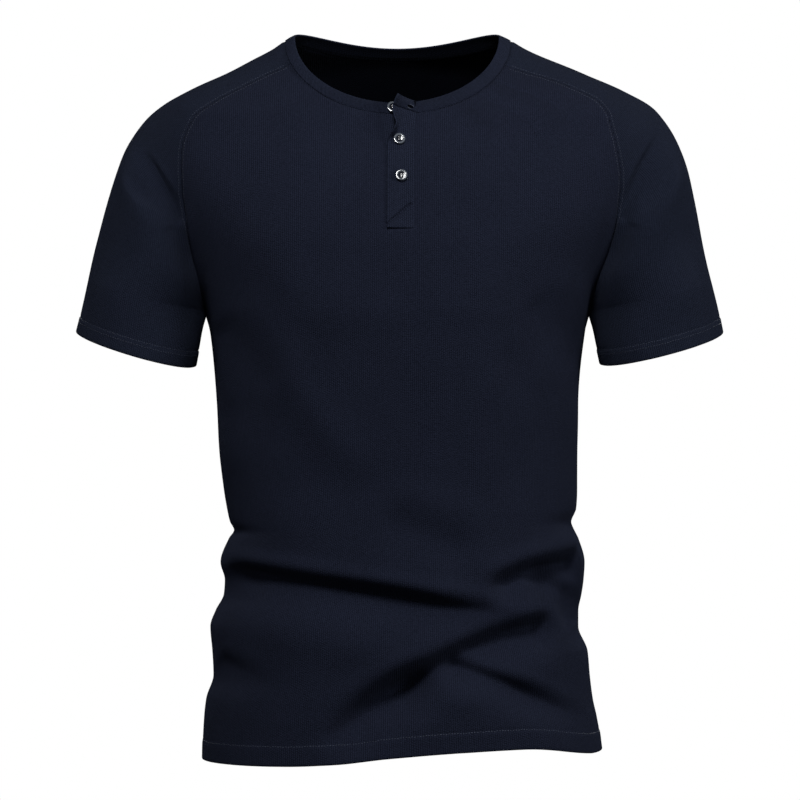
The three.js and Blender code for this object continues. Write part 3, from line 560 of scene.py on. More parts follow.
def sleeveRows(sideName):
    last = body["raglanRows"]
    outline = np.array([[x, body["sideSeamY"], z] for x, z in sleeve["outer"][sideName]], float)
    upper = outline[outline[:, 2] >= sleeve["levelAtArmpit"]]
    outer = spaced(smoothLine(upper, sleeve["lineSteps"]), last)
    armpit = seams["front"][sideName][last]
    cuffX, cuffZ = sleeve["innerCuff"][sideName]
    innerCuff = np.array([cuffX, body["sideSeamY"], cuffZ])
    rows = [upperSleeveRow(sideName, row, outer[row]) for row in range(last + 1)]
    for share in np.arange(1, sleeve["cuffRows"] + 1) / sleeve["cuffRows"]:
        inside = armpit + (innerCuff - armpit) * share
        outside = outer[last] + (outline[-1] - outer[last]) * share
        rows.append(lowerSleeveRow(sideName, share, inside, outside))
    return np.array([spaced(np.vstack([ahead, behind[-2::-1]]), sleeve["columns"]) for ahead, behind in rows])


def onNeckSeam(grid, sideName):
    # The top row is set on the neck's seam, and the rows below follow it less and less.
    label = sideName.capitalize()
    first, end = neck["turns"]["front" + label], neck["turns"]["back" + label]
    if sideName == "right":
        end -= 360
    neckRow = spaced(neckPoint(neck["seam"], np.linspace(first, end, closeSteps + 1)), sleeve["columns"])
    blendRows = sleeve["neckBlend"] * body["raglanRows"]
    blend = (1 - np.minimum(np.arange(len(grid)), blendRows) / blendRows) ** 2
    return grid + blend[:, None, None] * (neckRow - grid[0])[None]


def makeSleeveGrid(sideName):
    grid = onNeckSeam(sleeveRows(sideName), sideName)
    count = sleeve["columns"]
    index = np.arange(count + 1)
    relief = np.zeros(grid.shape[:2])
    for face, used in (("Front", index < count / 2), ("Back", index >= count / 2)):
        part = grid[:, used]
        relief[:, used] = creaseHeight(creaseLook[sideName + face], part[..., 0], part[..., 2])
    middle = (grid[:, :1] + grid[:, count // 2][:, None]) / 2
    nearSeam = smoothstep(0, sleeve["seamHold"], np.minimum(index, count - index))
    return grid + unit(grid - middle) * (relief * nearSeam)[..., None]


sleeveGrids = {side: makeSleeveGrid(side) for side in ("left", "right")}
print("sleeves laid out:", sleeveGrids["left"].shape[:2])


def overFlapPoint(z, share):
    z, share = np.broadcast_arrays(np.asarray(z, float), np.asarray(share, float))
    root, width = flatWidthAt(z), placket["width"]
    along = share * width
    curl = np.maximum(np.radians(curlAt(z)), 1e-4)
    radius = (width - root) / curl
    turn = np.maximum(along - root, 0) / radius
    across = np.minimum(along, root) + radius * np.sin(turn)
    out = radius * (1 - np.cos(turn))
    point = bodyPoint(slitRight(z) - across, z, "front", placket["overStep"] * share)
    rise = smoothstep(placket["riseFrom"], placket["riseTo"], z) * placket["cornerRise"]
    return point + np.stack([0 * out, -out, rise * across / (root + radius * np.sin(curl))], axis=-1)


def underFlapPoint(z, share):
    z, share = np.broadcast_arrays(np.asarray(z, float), np.asarray(share, float))
    x = slitLeft(z) + share * placket["underWidth"]
    depth = placket["overStep"] * share + placket["wall"] + placket["clearance"] - placket["overStep"]
    return bodyPoint(x, z, "front", -depth)


def neckSeamZ(x):
    seam = neck["seam"]
    return seam["z"] - seam["frontDrop"] * np.sqrt(1 - ((x - seam["x"]) / seam["halfWidth"]) ** 2)


def flapGrid(pointAt, topAt):
    share = np.linspace(0, 1, placket["columns"] + 1)[None, :]
    down = np.linspace(0, 1, placket["rows"] + 1)[:, None]
    top = topAt(share)
    return pointAt(top + (placket["slitBottomZ"] - top) * down, share + 0 * down)


stripStart, stripEnd = body["sideColumns"], body["sideColumns"] + body["stripColumns"]
cornerLeft, cornerRight = frontGrid[0, stripStart], frontGrid[0, stripEnd]
overGrid = flapGrid(overFlapPoint, lambda share: cornerRight[2] + 0 * share)
underGrid = flapGrid(underFlapPoint, lambda share: neckSeamZ(cornerLeft[0] + share * placket["width"]))
overGrid[0, 0] = cornerRight
underGrid[0, 0] = cornerLeft

# The neck binding runs from the inner flap's free end round the neck to the outer flap's corner.
binding = {"rows": 12, "bulge": 0.8, "flapBulge": 2.2, "bulgePower": 1.5, "wall": 2.0}


def neckRun(under, frontPart, left, backPart, right, over):
    # The pieces' top edges in turn, from the inner flap's free end round the neck to the outer flap's.
    return np.vstack([
        under[0, :0:-1], frontPart[0, : stripStart + 1][::-1], left[0, 1:], backPart[0, 1:],
        right[0, -2::-1], frontPart[0, stripEnd:-1][::-1], over[0, 1:],
    ])


def makeBindingGrid():
    columns = placket["columns"]
    starts = neckRun(underGrid, frontGrid, sleeveGrids["left"], backGrid, sleeveGrids["right"], overGrid)
    slope = (bindingTop(cornerLeft) - cornerLeft) * [0, 1, 1]
    ends = starts + slope
    ends[columns:-columns] = bindingTop(starts[columns:-columns])
    ends[-columns:, 0] += placket["cornerLean"] * np.arange(1, columns + 1) / columns
    share = np.linspace(1, 0, binding["rows"] + 1)[:, None, None]
    grid = starts[None] * (1 - share) + ends[None] * share
    out = unit((grid - [0, body["sideSeamY"], 0]) * [1, 1, 0])
    bulge = np.full((1, grid.shape[1], 1), binding["bulge"])
    onFlap = smoothstep(0, columns / 2, np.arange(columns))[:, None]
    bulge[0, -columns:] += (binding["flapBulge"] - binding["bulge"]) * onFlap
    return grid + out * bulge * np.sin(math.pi * share ** binding["bulgePower"])


bindingGrid = makeBindingGrid()
print("placket and binding laid out")


# Where a grid's edges lie in it.
edgePlaces = {
    "top": (0, slice(None)), "bottom": (-1, slice(None)),
    "left": (slice(None), 0), "right": (slice(None), -1),
}


class Panel:
    # One piece of cloth: a grid of outer points, its wall, and its distances from each edge.
    def __init__(self, name, grid, turned, wall, uv=None, keep=None):
        self.name = name
        self.grid = grid
        self.turned = turned
        self.wall = np.full(grid.shape[:2], float(wall))
        self.keep = np.ones((grid.shape[0] - 1, grid.shape[1] - 1), bool) if keep is None else keep
        self.across = self.runAlong(1)
        self.down = self.runAlong(0)
        middle = self.across[:, grid.shape[1] // 2][:, None]
        self.uv = np.stack([self.across - middle, self.down], axis=-1) if uv is None else uv

    def runAlong(self, axis):
        steps = np.linalg.norm(np.diff(self.grid, axis=axis), axis=2)
        pad = [(0, 0), (0, 0)]
        pad[axis] = (1, 0)
        return np.pad(np.cumsum(steps, axis=axis), pad)

    def fromEdge(self, edge):
        if edge == "left":
            return self.across
        if edge == "right":
            return self.across[:, -1:] - self.across
        if edge == "top":
            return self.down
        return self.down[-1:] - self.down

    def fromSides(self):
        return np.minimum(self.fromEdge("left"), self.fromEdge("right"))

    def normals(self):
        normal = unit(np.cross(np.gradient(self.grid, axis=0), np.gradient(self.grid, axis=1)))
        return -normal if self.turned else normal

    def raiseBy(self, height):
        self.grid = self.grid + self.normals() * height[..., None]


seamNormals = {}


def pointKey(point):
    return tuple(np.round(point, 2) + 0.0)


def gatherSeamNormals(panel):
    # Neighbouring panels add their normals along a seam, so that their inner faces meet there too.
    normals = panel.normals()
    for place in edgePlaces.values():
        for point, normal in zip(panel.grid[place], normals[place]):
            key = pointKey(point)
            seamNormals[key] = seamNormals.get(key, np.zeros(3)) + normal


def rimEdges(quads):
    # The edges that only one quad has, in its own direction.
    edges = {}
    for quad in quads.tolist():
        for a, b in zip(quad, quad[1:] + quad[:1]):
            if edges.pop((b, a), None) is None:
                edges[(a, b)] = True
    return list(edges)


def edgeMasks(panel, freeEdges):
    # Which points of a panel lie on its outer edge, and which on an edge that is rounded.
    onEdge = np.zeros(panel.grid.shape[:2], bool)
    free = onEdge.copy()
    for edge, place in edgePlaces.items():
        onEdge[place] = True
        free[place] |= edge in freeEdges
    if "inside" in freeEdges:
        free[1:-1, stripStart] = True
    return onEdge.ravel(), free.ravel()


def makeShell(panel, freeEdges, joined=None):
    # The wall of a panel: outer points, inner points, and a rim that is rounded along the free edges.
    outer = panel.grid.reshape(-1, 3)
    count = len(outer)
    wall = panel.wall.reshape(-1, 1)
    normals = panel.normals().reshape(-1, 3)
    onEdge, free = edgeMasks(panel, freeEdges)
    for i in np.flatnonzero(onEdge):
        normals[i] = unit(seamNormals[pointKey(outer[i])])
    inner = outer - normals * wall
    index = np.arange(count).reshape(panel.grid.shape[:2])
    quads = np.stack([index[:-1, :-1], index[1:, :-1], index[1:, 1:], index[:-1, 1:]], axis=-1)[panel.keep]
    if panel.turned:
        quads = quads[:, ::-1]
    rim = rimEdges(quads)
    outwards = {}
    for a, b in rim:
        for end in (a, b):
            way = unit(np.cross(outer[b] - outer[a], normals[end]))
            outwards[end] = outwards.get(end, np.zeros(3)) + way
    rings = {}
    rimPoints = []
    for i, way in outwards.items():
        centre, half = (outer[i] + inner[i]) / 2, wall[i, 0] / 2
        rings[i] = [i]
        for angle in math.pi * np.arange(1, rimSteps) / rimSteps:
            bulge = math.sin(angle) * half if free[i] else 0
            rings[i].append(2 * count + len(rimPoints))
            rimPoints.append(centre + normals[i] * math.cos(angle) * half + unit(way) * bulge)
        rings[i].append(i + count)
    faces = quads.tolist() + (quads[:, ::-1] + count).tolist()
    for a, b in rim:
        for k in range(rimSteps):
            faces.append([rings[b][k], rings[a][k], rings[a][k + 1], rings[b][k + 1]])
    uv = panel.uv.reshape(-1, 2)
    rimUv = np.repeat(uv[list(outwards)], rimSteps - 1, axis=0)
    piece = meshPiece(panel.name, np.vstack([outer, inner, rimPoints]), faces, np.vstack([uv, uv, rimUv]))
    # The inner face is marked here, and the knit materials darken it with painted shade.
    inside = piece.data.attributes.new("inside", "FLOAT", "POINT")
    inside.data.foreach_set("value", np.repeat([0, 1, 0], [count, count, len(rimPoints)]).astype(np.float32))
    if joined is not None:
        sharpen(piece, np.flatnonzero(joined))
    return piece


def sharpen(piece, points):
    # Edges between these points no longer blend the cloth's face into its rim.
    ends = np.zeros(2 * len(piece.data.edges), np.int32)
    piece.data.edges.foreach_get("vertices", ends)
    onLine = np.isin(ends, points).reshape(-1, 2).all(axis=1)
    sharp = piece.data.attributes.new("sharp_edge", "BOOLEAN", "EDGE")
    sharp.data.foreach_set("value", onLine)


def meshPiece(name, points, faces, uv=None):
    mesh = bpy.data.meshes.new(name)
    mesh.from_pydata((np.asarray(points) * mm).tolist(), [], faces)
    piece = bpy.data.objects.new(name, mesh)
    if uv is not None:
        setUv(piece, uv * mm)
    mesh.polygons.foreach_set("use_smooth", np.ones(len(mesh.polygons), bool))
    mesh.validate()
    bpy.context.scene.collection.objects.link(piece)
    return piece


def setUv(piece, uv):
    # One UV map, in metres, from a value at each point.
    mesh = piece.data
    for old in list(mesh.uv_layers):
        mesh.uv_layers.remove(old)
    layer = mesh.uv_layers.new(name="flat")
    loops = np.zeros(len(mesh.loops), np.int32)
    mesh.loops.foreach_get("vertex_index", loops)
    layer.data.foreach_set("uv", uv[loops].astype(np.float32).ravel())


def faceUv(grid, face):
    # Distance round the body from its middle, and distance up along the cloth from the hem.
    x, z = grid[..., 0], grid[..., 2]
    power = body["roundness"]
    share = np.clip(np.abs(x) / bodyHalf(x, z), 0, 1)
    level = np.maximum(z, body["armpitZ"])
    turns = np.linspace(0, 1, body["arcSteps"] + 1)[:, None, None] * np.arcsin(share)[None]
    across = np.sin(turns) * bodyHalf(x, level)
    forward = (1 - np.clip(np.sin(turns), 0, 1) ** power) ** (1 / power) * bodyDepth(level, face)
    run = np.hypot(np.diff(across, axis=0), np.diff(forward, axis=0)).sum(axis=0)
    steps = np.linalg.norm(np.diff(grid, axis=0), axis=2)
    up = np.pad(np.cumsum(steps[::-1], axis=0)[::-1], [(0, 1), (0, 0)])
    return np.stack([np.sign(x) * run, up], axis=-1)


# What wear and sewing do to the cloth's surface.
rippleLook = {"height": 0.35, "lengths": (61.0, 43.0, 29.0), "hold": 25}
seamLook = {
    "sink": 0.4,
    "width": 0.9,
    "stitchSink": 0.45,
    "stitchWidth": 0.8,
    "fromSeam": 2.8,
    "raglanFade": 4,
    "neckSink": 2.8,
    "pinch": 2.1,
    "pinchFrom": -155,
    "pinchTo": -190,
    "pinchFade": 25,
    "pinchRise": 4,
    "pinchFall": (17, 5),
}
hemLook = {
    "proud": 0.45,
    "step": 1,
    "stitchSink": 1.6,
    "tuckHeight": 0.16,
    "tuckAbove": 4,
    "tuckWidth": 9,
    "tucks": [(1, 5.3, 0), (0.7, 3.1, 1.3), (0.5, 8.9, 0.4)],
}


def softRipple(grid):
    # A slight unevenness, as any worn knit has.
    x, y, z = grid[..., 0], grid[..., 1], grid[..., 2]
    a, b, c = rippleLook["lengths"]
    wave = np.sin(x / a * 3.1 + np.sin(z / b * 2.2)) + np.sin((z + 0.6 * x) / b * 2.6 + np.sin(y / c))
    return rippleLook["height"] * (wave + 0.6 * np.sin(x / c * 2.9) * np.sin(z / c * 2.1))


def sunk(distance):
    return -seamLook["sink"] * hump(distance, 0, seamLook["width"])


def stitchedDown(distance, at):
    return -seamLook["stitchSink"] * hump(distance, at, seamLook["stitchWidth"])


def pinched(panel, sides):
    # The cloth swells on both sides of the lower raglan seam, where the sleeve hangs over.
    z = panel.grid[..., 2]
    near = smoothstep(0, seamLook["pinchRise"], sides) * smoothstep(*seamLook["pinchFall"], sides)
    low = smoothstep(seamLook["pinchFrom"], seamLook["pinchTo"], z)
    above = smoothstep(body["armpitZ"] - seamLook["pinchFade"], body["armpitZ"], z)
    return seamLook["pinch"] * near * low * above


def hemRelief(panel, depth, extra):
    # The turned hem: double cloth below the stitching, and small tucks along it.
    edge = panel.fromEdge("bottom")
    below = smoothstep(depth + hemLook["step"], depth - hemLook["step"], edge)
    panel.wall += extra * below
    tucks = sum(height * np.sin(panel.across / length + start) for height, length, start in hemLook["tucks"])
    puckers = hemLook["tuckHeight"] * tucks * hump(edge, depth - hemLook["tuckAbove"], hemLook["tuckWidth"])
    return hemLook["proud"] * below + stitchedDown(edge, depth) * hemLook["stitchSink"] + puckers


def sewnRelief(panel, onRaglan, look):
    # The ripple dies out towards the seams, which sink in and keep their line.
    sides, top = panel.fromSides(), panel.fromEdge("top")
    relief = softRipple(panel.grid) * smoothstep(0, rippleLook["hold"], np.minimum(sides, top))
    relief += sunk(sides) + pinched(panel, sides) + sunk(top) * seamLook["neckSink"]
    relief += stitchedDown(sides, seamLook["fromSeam"]) * onRaglan
    return relief + hemRelief(panel, look["hemDepth"], look["hemExtra"])


stripKeep = np.ones((frontGrid.shape[0] - 1, frontGrid.shape[1] - 1), bool)
stripKeep[:slitRow, stripStart:stripEnd] = False
front = Panel("front_panel", frontGrid, False, body["wall"], faceUv(frontGrid, "front"), stripKeep)
back = Panel("back_panel", backGrid, True, body["wall"], faceUv(backGrid, "back"))
sleeves = {
    side: Panel(f"sleeve_{side}_panel", sleeveGrids[side], side == "left", sleeve["wall"])
    for side in ("left", "right")
}
overFlap = Panel("placket_over_flap", overGrid, True, placket["wall"])
underFlap = Panel("placket_under_flap", underGrid, False, body["wall"])
neckBinding = Panel("neck_binding_band", bindingGrid, True, binding["wall"])

armpitZ, fade = body["armpitZ"], seamLook["raglanFade"]
for panel in (front, back):
    panel.raiseBy(sewnRelief(panel, smoothstep(armpitZ - fade, armpitZ + fade, panel.grid[..., 2]), body))
for panel in sleeves.values():
    panel.raiseBy(sewnRelief(panel, np.arange(len(panel.grid))[:, None] <= body["raglanRows"], sleeve))


def joinSeams():
    # Neighbouring panels' seam edges meet exactly.
    armpit = body["raglanRows"]
    seam, below = slice(0, armpit + 1), slice(armpit, None)
    left, right = sleeves["left"].grid, sleeves["right"].grid
    pairs = [
        (front.grid[seam, 0], left[seam, 0]), (back.grid[seam, 0], left[seam, -1]),
        (front.grid[seam, -1], right[seam, 0]), (back.grid[seam, -1], right[seam, -1]),
        (left[below, 0], left[below, -1]), (right[below, 0], right[below, -1]),
        (front.grid[below, 0], back.grid[below, 0]), (front.grid[below, -1], back.grid[below, -1]),
    ]
    for first, second in pairs:
        first[:] = second[:] = (first + second) / 2
    for column, arm in ((0, left), (-1, right)):
        ends = [front.grid[armpit, column], back.grid[armpit, column], arm[armpit, 0], arm[armpit, -1]]
        meeting = np.mean(ends, axis=0)
        for end in ends:
            end[:] = meeting


joinSeams()
for panel in (overFlap, underFlap):
    top = panel.fromEdge("top")
    ripple = softRipple(panel.grid) * smoothstep(0, rippleLook["hold"], top)
    panel.raiseBy(ripple + sunk(top) * seamLook["neckSink"])

neckBinding.grid[-1] = neckRun(
    underFlap.grid, front.grid, sleeves["left"].grid, back.grid, sleeves["right"].grid, overFlap.grid,
)

# The placket's lower end: a pressed line slants across it, and its sewn end stands a little proud.
pressed = {
    "from": (11.5, -167.5),
    "to": (-19.2, -194.6),
    "depth": 3,
    "width": 1.1,
    "fadeIn": 3,
    "fadeOut": 1,
    "ridge": 0.5,
    "ridgeAt": -2.2,
    "ridgeWidth": 1.4,
}
flapEnd = {"proud": 0.8, "height": 9, "fromRoot": 2.5}


def pressedLine(grid):
    start, end = np.array(pressed["from"]), np.array(pressed["to"])
    run = np.linalg.norm(end - start)
    way = (end - start) / run
    offset = grid[..., [0, 2]] - start
    along = offset @ way
    beside = offset[..., 0] * way[1] - offset[..., 1] * way[0]
    shown = smoothstep(0, pressed["fadeIn"], along) * smoothstep(run + pressed["fadeOut"], run, along)
    ridge = pressed["ridge"] * hump(beside, pressed["ridgeAt"], pressed["ridgeWidth"])
    return shown * (ridge - pressed["depth"] * hump(beside, 0, pressed["width"]))


proudEnd = flapEnd["proud"] * smoothstep(0, flapEnd["fromRoot"], overFlap.fromEdge("left"))
proudEnd *= smoothstep(flapEnd["height"], 0, overFlap.fromEdge("bottom"))
overFlap.raiseBy(pressedLine(overFlap.grid) + proudEnd)
for panel in (front, back, *sleeves.values(), overFlap, underFlap, neckBinding):
    gatherSeamNormals(panel)

slitEdge = np.zeros(front.grid.shape[:2], bool)
slitEdge[: slitRow + 1, stripEnd] = True
flapRoot = np.zeros(overFlap.grid.shape[:2], bool)
flapRoot[:, 0] = True
pieces = {
    "front": makeShell(front, {"bottom", "inside"}, slitEdge),
    "back": makeShell(back, {"bottom"}),
    "sleeve_left": makeShell(sleeves["left"], {"bottom"}),
    "sleeve_right": makeShell(sleeves["right"], {"bottom"}),
    "placket_over": makeShell(overFlap, {"right", "bottom"}, flapRoot),
    "placket_under": makeShell(underFlap, {"right", "bottom"}),
    "neck_binding": makeShell(neckBinding, {"top", "left", "right"}),
}
print("cloth walls made:", sum(len(piece.data.polygons) for piece in pieces.values()), "faces")

# Buttons: a disc with a sunk well, four drilled holes and rounded edges, modelled once.
button = {
    "sides": 64,
    "drillSides": 20,
    "radius": 5.3,
    "thickness": 2.5,
    "edgeRound": 0.6,
    "edgeSteps": 3,
    "roundOver": 28,
    "smoothUnder": 35,
    "wellRadius": 3.0,
    "wellSlope": 0.6,
    "wellDepth": 0.9,
    "holeRadius": 0.5,
    "holeSpread": 1.15,
    "clearance": 0.3,
    "threadAside": 0.8,
    "threadLength": 2.6,
    "threadRadius": 0.38,
    "seats": [(-6.8, -76), (-0.6, -108.2), (1.4, -142.5)],
    "seatStep": 2,
    "bindingColumns": (8, 32),
}


def deselectAll():
    if bpy.context.object and bpy.context.object.mode != "OBJECT":
        bpy.ops.object.mode_set(mode="OBJECT")
    bpy.ops.object.select_all(action="DESELECT")


def makeButton():
    deselectAll()
    size = button
    bpy.ops.mesh.primitive_cylinder_add(
        vertices=size["sides"], radius=size["radius"] * mm, depth=size["thickness"] * mm,
        location=(0, 0, size["thickness"] / 2 * mm), end_fill_type="NGON",
    )
    piece = bpy.context.object
    bpy.ops.object.transform_apply(location=True, rotation=True, scale=True)
    bpy.ops.object.mode_set(mode="EDIT")
    selectTop(piece)
    bpy.ops.mesh.inset(thickness=(size["radius"] - size["wellRadius"] - size["wellSlope"]) * mm)
    bpy.ops.mesh.inset(thickness=size["wellSlope"] * mm, depth=-size["wellDepth"] * mm)
    bpy.ops.object.mode_set(mode="OBJECT")
    drills = []
    for x in (-1, 1):
        for y in (-1, 1):
            bpy.ops.mesh.primitive_cylinder_add(
                vertices=size["drillSides"], radius=size["holeRadius"] * mm, depth=3 * size["thickness"] * mm,
                location=(x * size["holeSpread"] * mm, y * size["holeSpread"] * mm, 0),
            )
            drills.append(bpy.context.object)
    for drill in drills:
        cut = piece.modifiers.new("drill", "BOOLEAN")
        cut.operation = "DIFFERENCE"
        cut.object = drill
        cut.solver = "EXACT"
    rounding = piece.modifiers.new("round", "BEVEL")
    rounding.width = size["edgeRound"] * mm
    rounding.segments = size["edgeSteps"]
    rounding.limit_method = "ANGLE"
    rounding.angle_limit = math.radians(size["roundOver"])
    deselectAll()
    piece.select_set(True)
    bpy.context.view_layer.objects.active = piece
    for modifier in list(piece.modifiers):
        bpy.ops.object.modifier_apply(modifier=modifier.name)
    for drill in drills:
        bpy.data.objects.remove(drill)
    bpy.ops.object.shade_smooth_by_angle(angle=math.radians(size["smoothUnder"]))
    setUv(piece, np.array([vertex.co[:2] for vertex in piece.data.vertices]))
    return piece


def selectTop(piece):
    edit = bmesh.from_edit_mesh(piece.data)
    top = max(face.calc_center_median().z for face in edit.faces)
    for face in edit.faces:
        face.select_set(face.calc_center_median().z > top - 1e-6)
    bmesh.update_edit_mesh(piece.data)


def onUnderBinding(x, z):
    # The binding over the inner flap, between two of the grid's columns.
    first, second = (bindingGrid[:, placket["columns"] - column] for column in button["bindingColumns"])
    share = (x - first[-1][0]) / (second[-1][0] - first[-1][0])
    column = first + (second - first) * share
    order = np.argsort(column[:, 2])
    return np.array([np.interp(z, column[order, 2], column[order, k]) for k in range(3)])


def onOverFlap(x, z):
    return overFlapPoint(z, (float(slitRight(z)) - x) / placket["width"])


def laidAt(right, up, out, spot):
    # The place and turn of something that lies on the cloth.
    matrix = Matrix(np.column_stack([right, up, out]).tolist()).to_4x4()
    matrix.translation = Vector((spot * mm).tolist())
    return matrix


def seatMatrix(x, z, surface):
    step = button["seatStep"]
    acrossWay = surface(x + step, z) - surface(x - step, z)
    upWay = surface(x, z + step) - surface(x, z - step)
    out = unit(np.cross(acrossWay, upWay))
    right = unit(acrossWay)
    return laidAt(right, np.cross(out, right), out, surface(x, z) + out * button["clearance"])


buttonModel = makeButton()
buttonSeats = []
for i, (x, z) in enumerate(button["seats"]):
    copy = buttonModel.copy()
    copy.data = buttonModel.data.copy()
    copy.name = f"button_{i + 1}_turned"
    buttonSeats.append(seatMatrix(x, z, onUnderBinding if i == 0 else onOverFlap))
    copy.data.transform(buttonSeats[-1])
    bpy.context.scene.collection.objects.link(copy)
    pieces[f"button_{i + 1}"] = copy
bpy.data.objects.remove(buttonModel)
print("buttons made")

# Stitching: one short thread, modelled once, laid along each seam.
stitch = {
    "length": 1.9,
    "radius": 0.29,
    "sides": 6,
    "rings": 5,
    "pitch": 2.7,
    "sink": 0.1,
    "rowGap": 4,
    "stray": 0.3,
    "strayTurn": 2.4,
    "onBody": slice(2, -4),
    "onSleeve": slice(2, -6),
}


def makeThread():
    deselectAll()
    bpy.ops.mesh.primitive_uv_sphere_add(
        segments=stitch["sides"], ring_count=stitch["rings"], radius=stitch["radius"] * mm,
    )
    thread = bpy.context.object
    bpy.ops.object.mode_set(mode="EDIT")
    bpy.ops.mesh.select_all(action="SELECT")
    bpy.ops.transform.rotate(value=math.pi / 2, orient_axis="Y", center_override=(0, 0, 0))
    drawnOut = stitch["length"] / 2 / stitch["radius"]
    bpy.ops.transform.resize(value=(drawnOut, 1, 1), center_override=(0, 0, 0))
    bpy.ops.object.mode_set(mode="OBJECT")
    return thread


threadModel = makeThread()
threadPoints = np.array([vertex.co[:] for vertex in threadModel.data.vertices]) / mm
threadFaces = [list(face.vertices) for face in threadModel.data.polygons]
bpy.data.objects.remove(threadModel)


def insetLine(panel, edge, distance):
    # The line on a panel that runs along one edge, a set distance in from it, with the normals there.
    grid, normals, gap = panel.grid, panel.normals(), panel.fromEdge(edge)
    if edge in ("top", "bottom"):
        grid, normals, gap = grid.transpose(1, 0, 2), normals.transpose(1, 0, 2), gap.T
    if edge in ("right", "bottom"):
        grid, normals, gap = grid[:, ::-1], normals[:, ::-1], gap[:, ::-1]
    line = []
    for points, ways, run in zip(grid, normals, gap):
        line.append([np.interp(distance, run, column) for column in (*points.T, *ways.T)])
    return np.array(line)


def threadAt(spot, way, out, size=(1, 1, 1)):
    side = unit(np.cross(out, way))
    turn = np.column_stack([way, side, np.cross(way, side)])
    return (threadPoints * size) @ turn.T + spot - out * stitch["sink"]


def sewn(name, threads):
    count = len(threadPoints)
    faces = [[k * count + i for i in face] for k in range(len(threads)) for face in threadFaces]
    return meshPiece(name, np.vstack(threads), faces)


def layStitches(name, lines):
    threads = []
    for line in lines:
        run = np.linalg.norm(np.diff(line[:, :3], axis=0), axis=1).sum()
        placed = spaced(line, max(2, int(run / stitch["pitch"])))
        ways = unit(np.gradient(placed[:, :3], axis=0))
        for k, (spot, way) in enumerate(list(zip(placed, ways))[:-1]):
            out = unit(spot[3:])
            aside = np.cross(out, way) * stitch["stray"] * math.sin(stitch["strayTurn"] * k * k)
            threads.append(threadAt(spot[:3] + way * stitch["pitch"] / 2 + aside, way, out))
    return sewn(name, threads)


def seamLines(sideName, face):
    # One row of stitches on each side of a raglan seam.
    upTo = body["raglanRows"] + 1
    panel = front if face == "front" else back
    onBody = insetLine(panel, sideName, seamLook["fromSeam"])[:upTo]
    sleeveEdge = "left" if face == "front" else "right"
    onSleeve = insetLine(sleeves[sideName], sleeveEdge, seamLook["fromSeam"])[:upTo]
    return [onBody[stitch["onBody"]], onSleeve[stitch["onSleeve"]]]


stitching = {}
for face in ("front", "back"):
    for sideName in ("left", "right"):
        name = f"raglan_stitches_{face}_{sideName}"
        stitching[name] = layStitches(name, seamLines(sideName, face))
hemLines = [insetLine(panel, "bottom", body["hemDepth"]) for panel in (front, back)]
stitching["hem_stitches"] = layStitches("hem_stitches", hemLines)
for sideName, panel in sleeves.items():
    name = "cuff_stitches_" + sideName
    rows = sleeve["hemDepth"], sleeve["hemDepth"] - stitch["rowGap"]
    stitching[name] = layStitches(name, [insetLine(panel, "bottom", row) for row in rows])

# The top buttonhole: stitches round a near-black sheet of painted shade that stands for the hole's depth, on
# the binding at the outer flap's corner.
buttonhole = {
    "at": (9.8, -75),
    "halfLength": 3.9,
    "halfHeight": 1.9,
    "stitches": 34,
    "stitchSize": (0.85, 0.9, 0.9),
    "gap": (3.3, 1.35, 0.75),
    "gapSides": 24,
    "gapRings": 12,
}


def makeButtonhole():
    corner = bindingGrid[:, -placket["columns"] :]
    gap = np.hypot(corner[..., 0] - buttonhole["at"][0], corner[..., 2] - buttonhole["at"][1])
    row, column = np.unravel_index(np.argmin(gap), gap.shape)
    spot = corner[row, column]
    out = neckBinding.normals()[:, -placket["columns"] :][row, column]
    right = unit(spot - corner[row, column - 2])
    up = np.cross(out, right)
    threads = []
    for turn in np.arange(buttonhole["stitches"]) * 2 * math.pi / buttonhole["stitches"]:
        acrossWay, upWay = right * math.cos(turn), up * math.sin(turn)
        reach = acrossWay * buttonhole["halfLength"] + upWay * buttonhole["halfHeight"]
        way = unit(acrossWay * buttonhole["halfHeight"] + upWay * buttonhole["halfLength"])
        threads.append(threadAt(spot + reach, way, out, buttonhole["stitchSize"]))
    deselectAll()
    # A flattened near-black sphere: painted shade where the hole goes into the cloth.
    bpy.ops.mesh.primitive_uv_sphere_add(
        segments=buttonhole["gapSides"], ring_count=buttonhole["gapRings"], radius=mm, location=(0, 0, 0),
    )
    shadePiece = bpy.context.object
    shadePiece.name = "buttonhole_painted_shade"
    bpy.ops.object.shade_smooth()
    shadePiece.data.transform(laidAt(right, up, out, spot) @ Matrix.Diagonal((*buttonhole["gap"], 1)))
    return sewn("buttonhole_stitches", threads), shadePiece


stitching["buttonhole_stitches"], holeShade = makeButtonhole()


def tieButton(number, seat):
    # The thread that shows between the right-hand holes.
    axes = np.array(seat.to_3x3()).T
    height = button["thickness"] - button["wellDepth"] + stitch["sink"]
    spot = np.array(seat.translation) / mm + axes[0] * button["threadAside"] + axes[2] * height
    wide = button["threadRadius"] / stitch["radius"]
    size = (button["threadLength"] / stitch["length"], wide, wide)
    return sewn(f"button_{number}_thread", [threadAt(spot, axes[1], axes[2], size)])


ties = [tieButton(i + 1, seat) for i, seat in enumerate(buttonSeats)]
print("stitching laid:", sum(len(piece.data.polygons) for piece in stitching.values()), "faces")


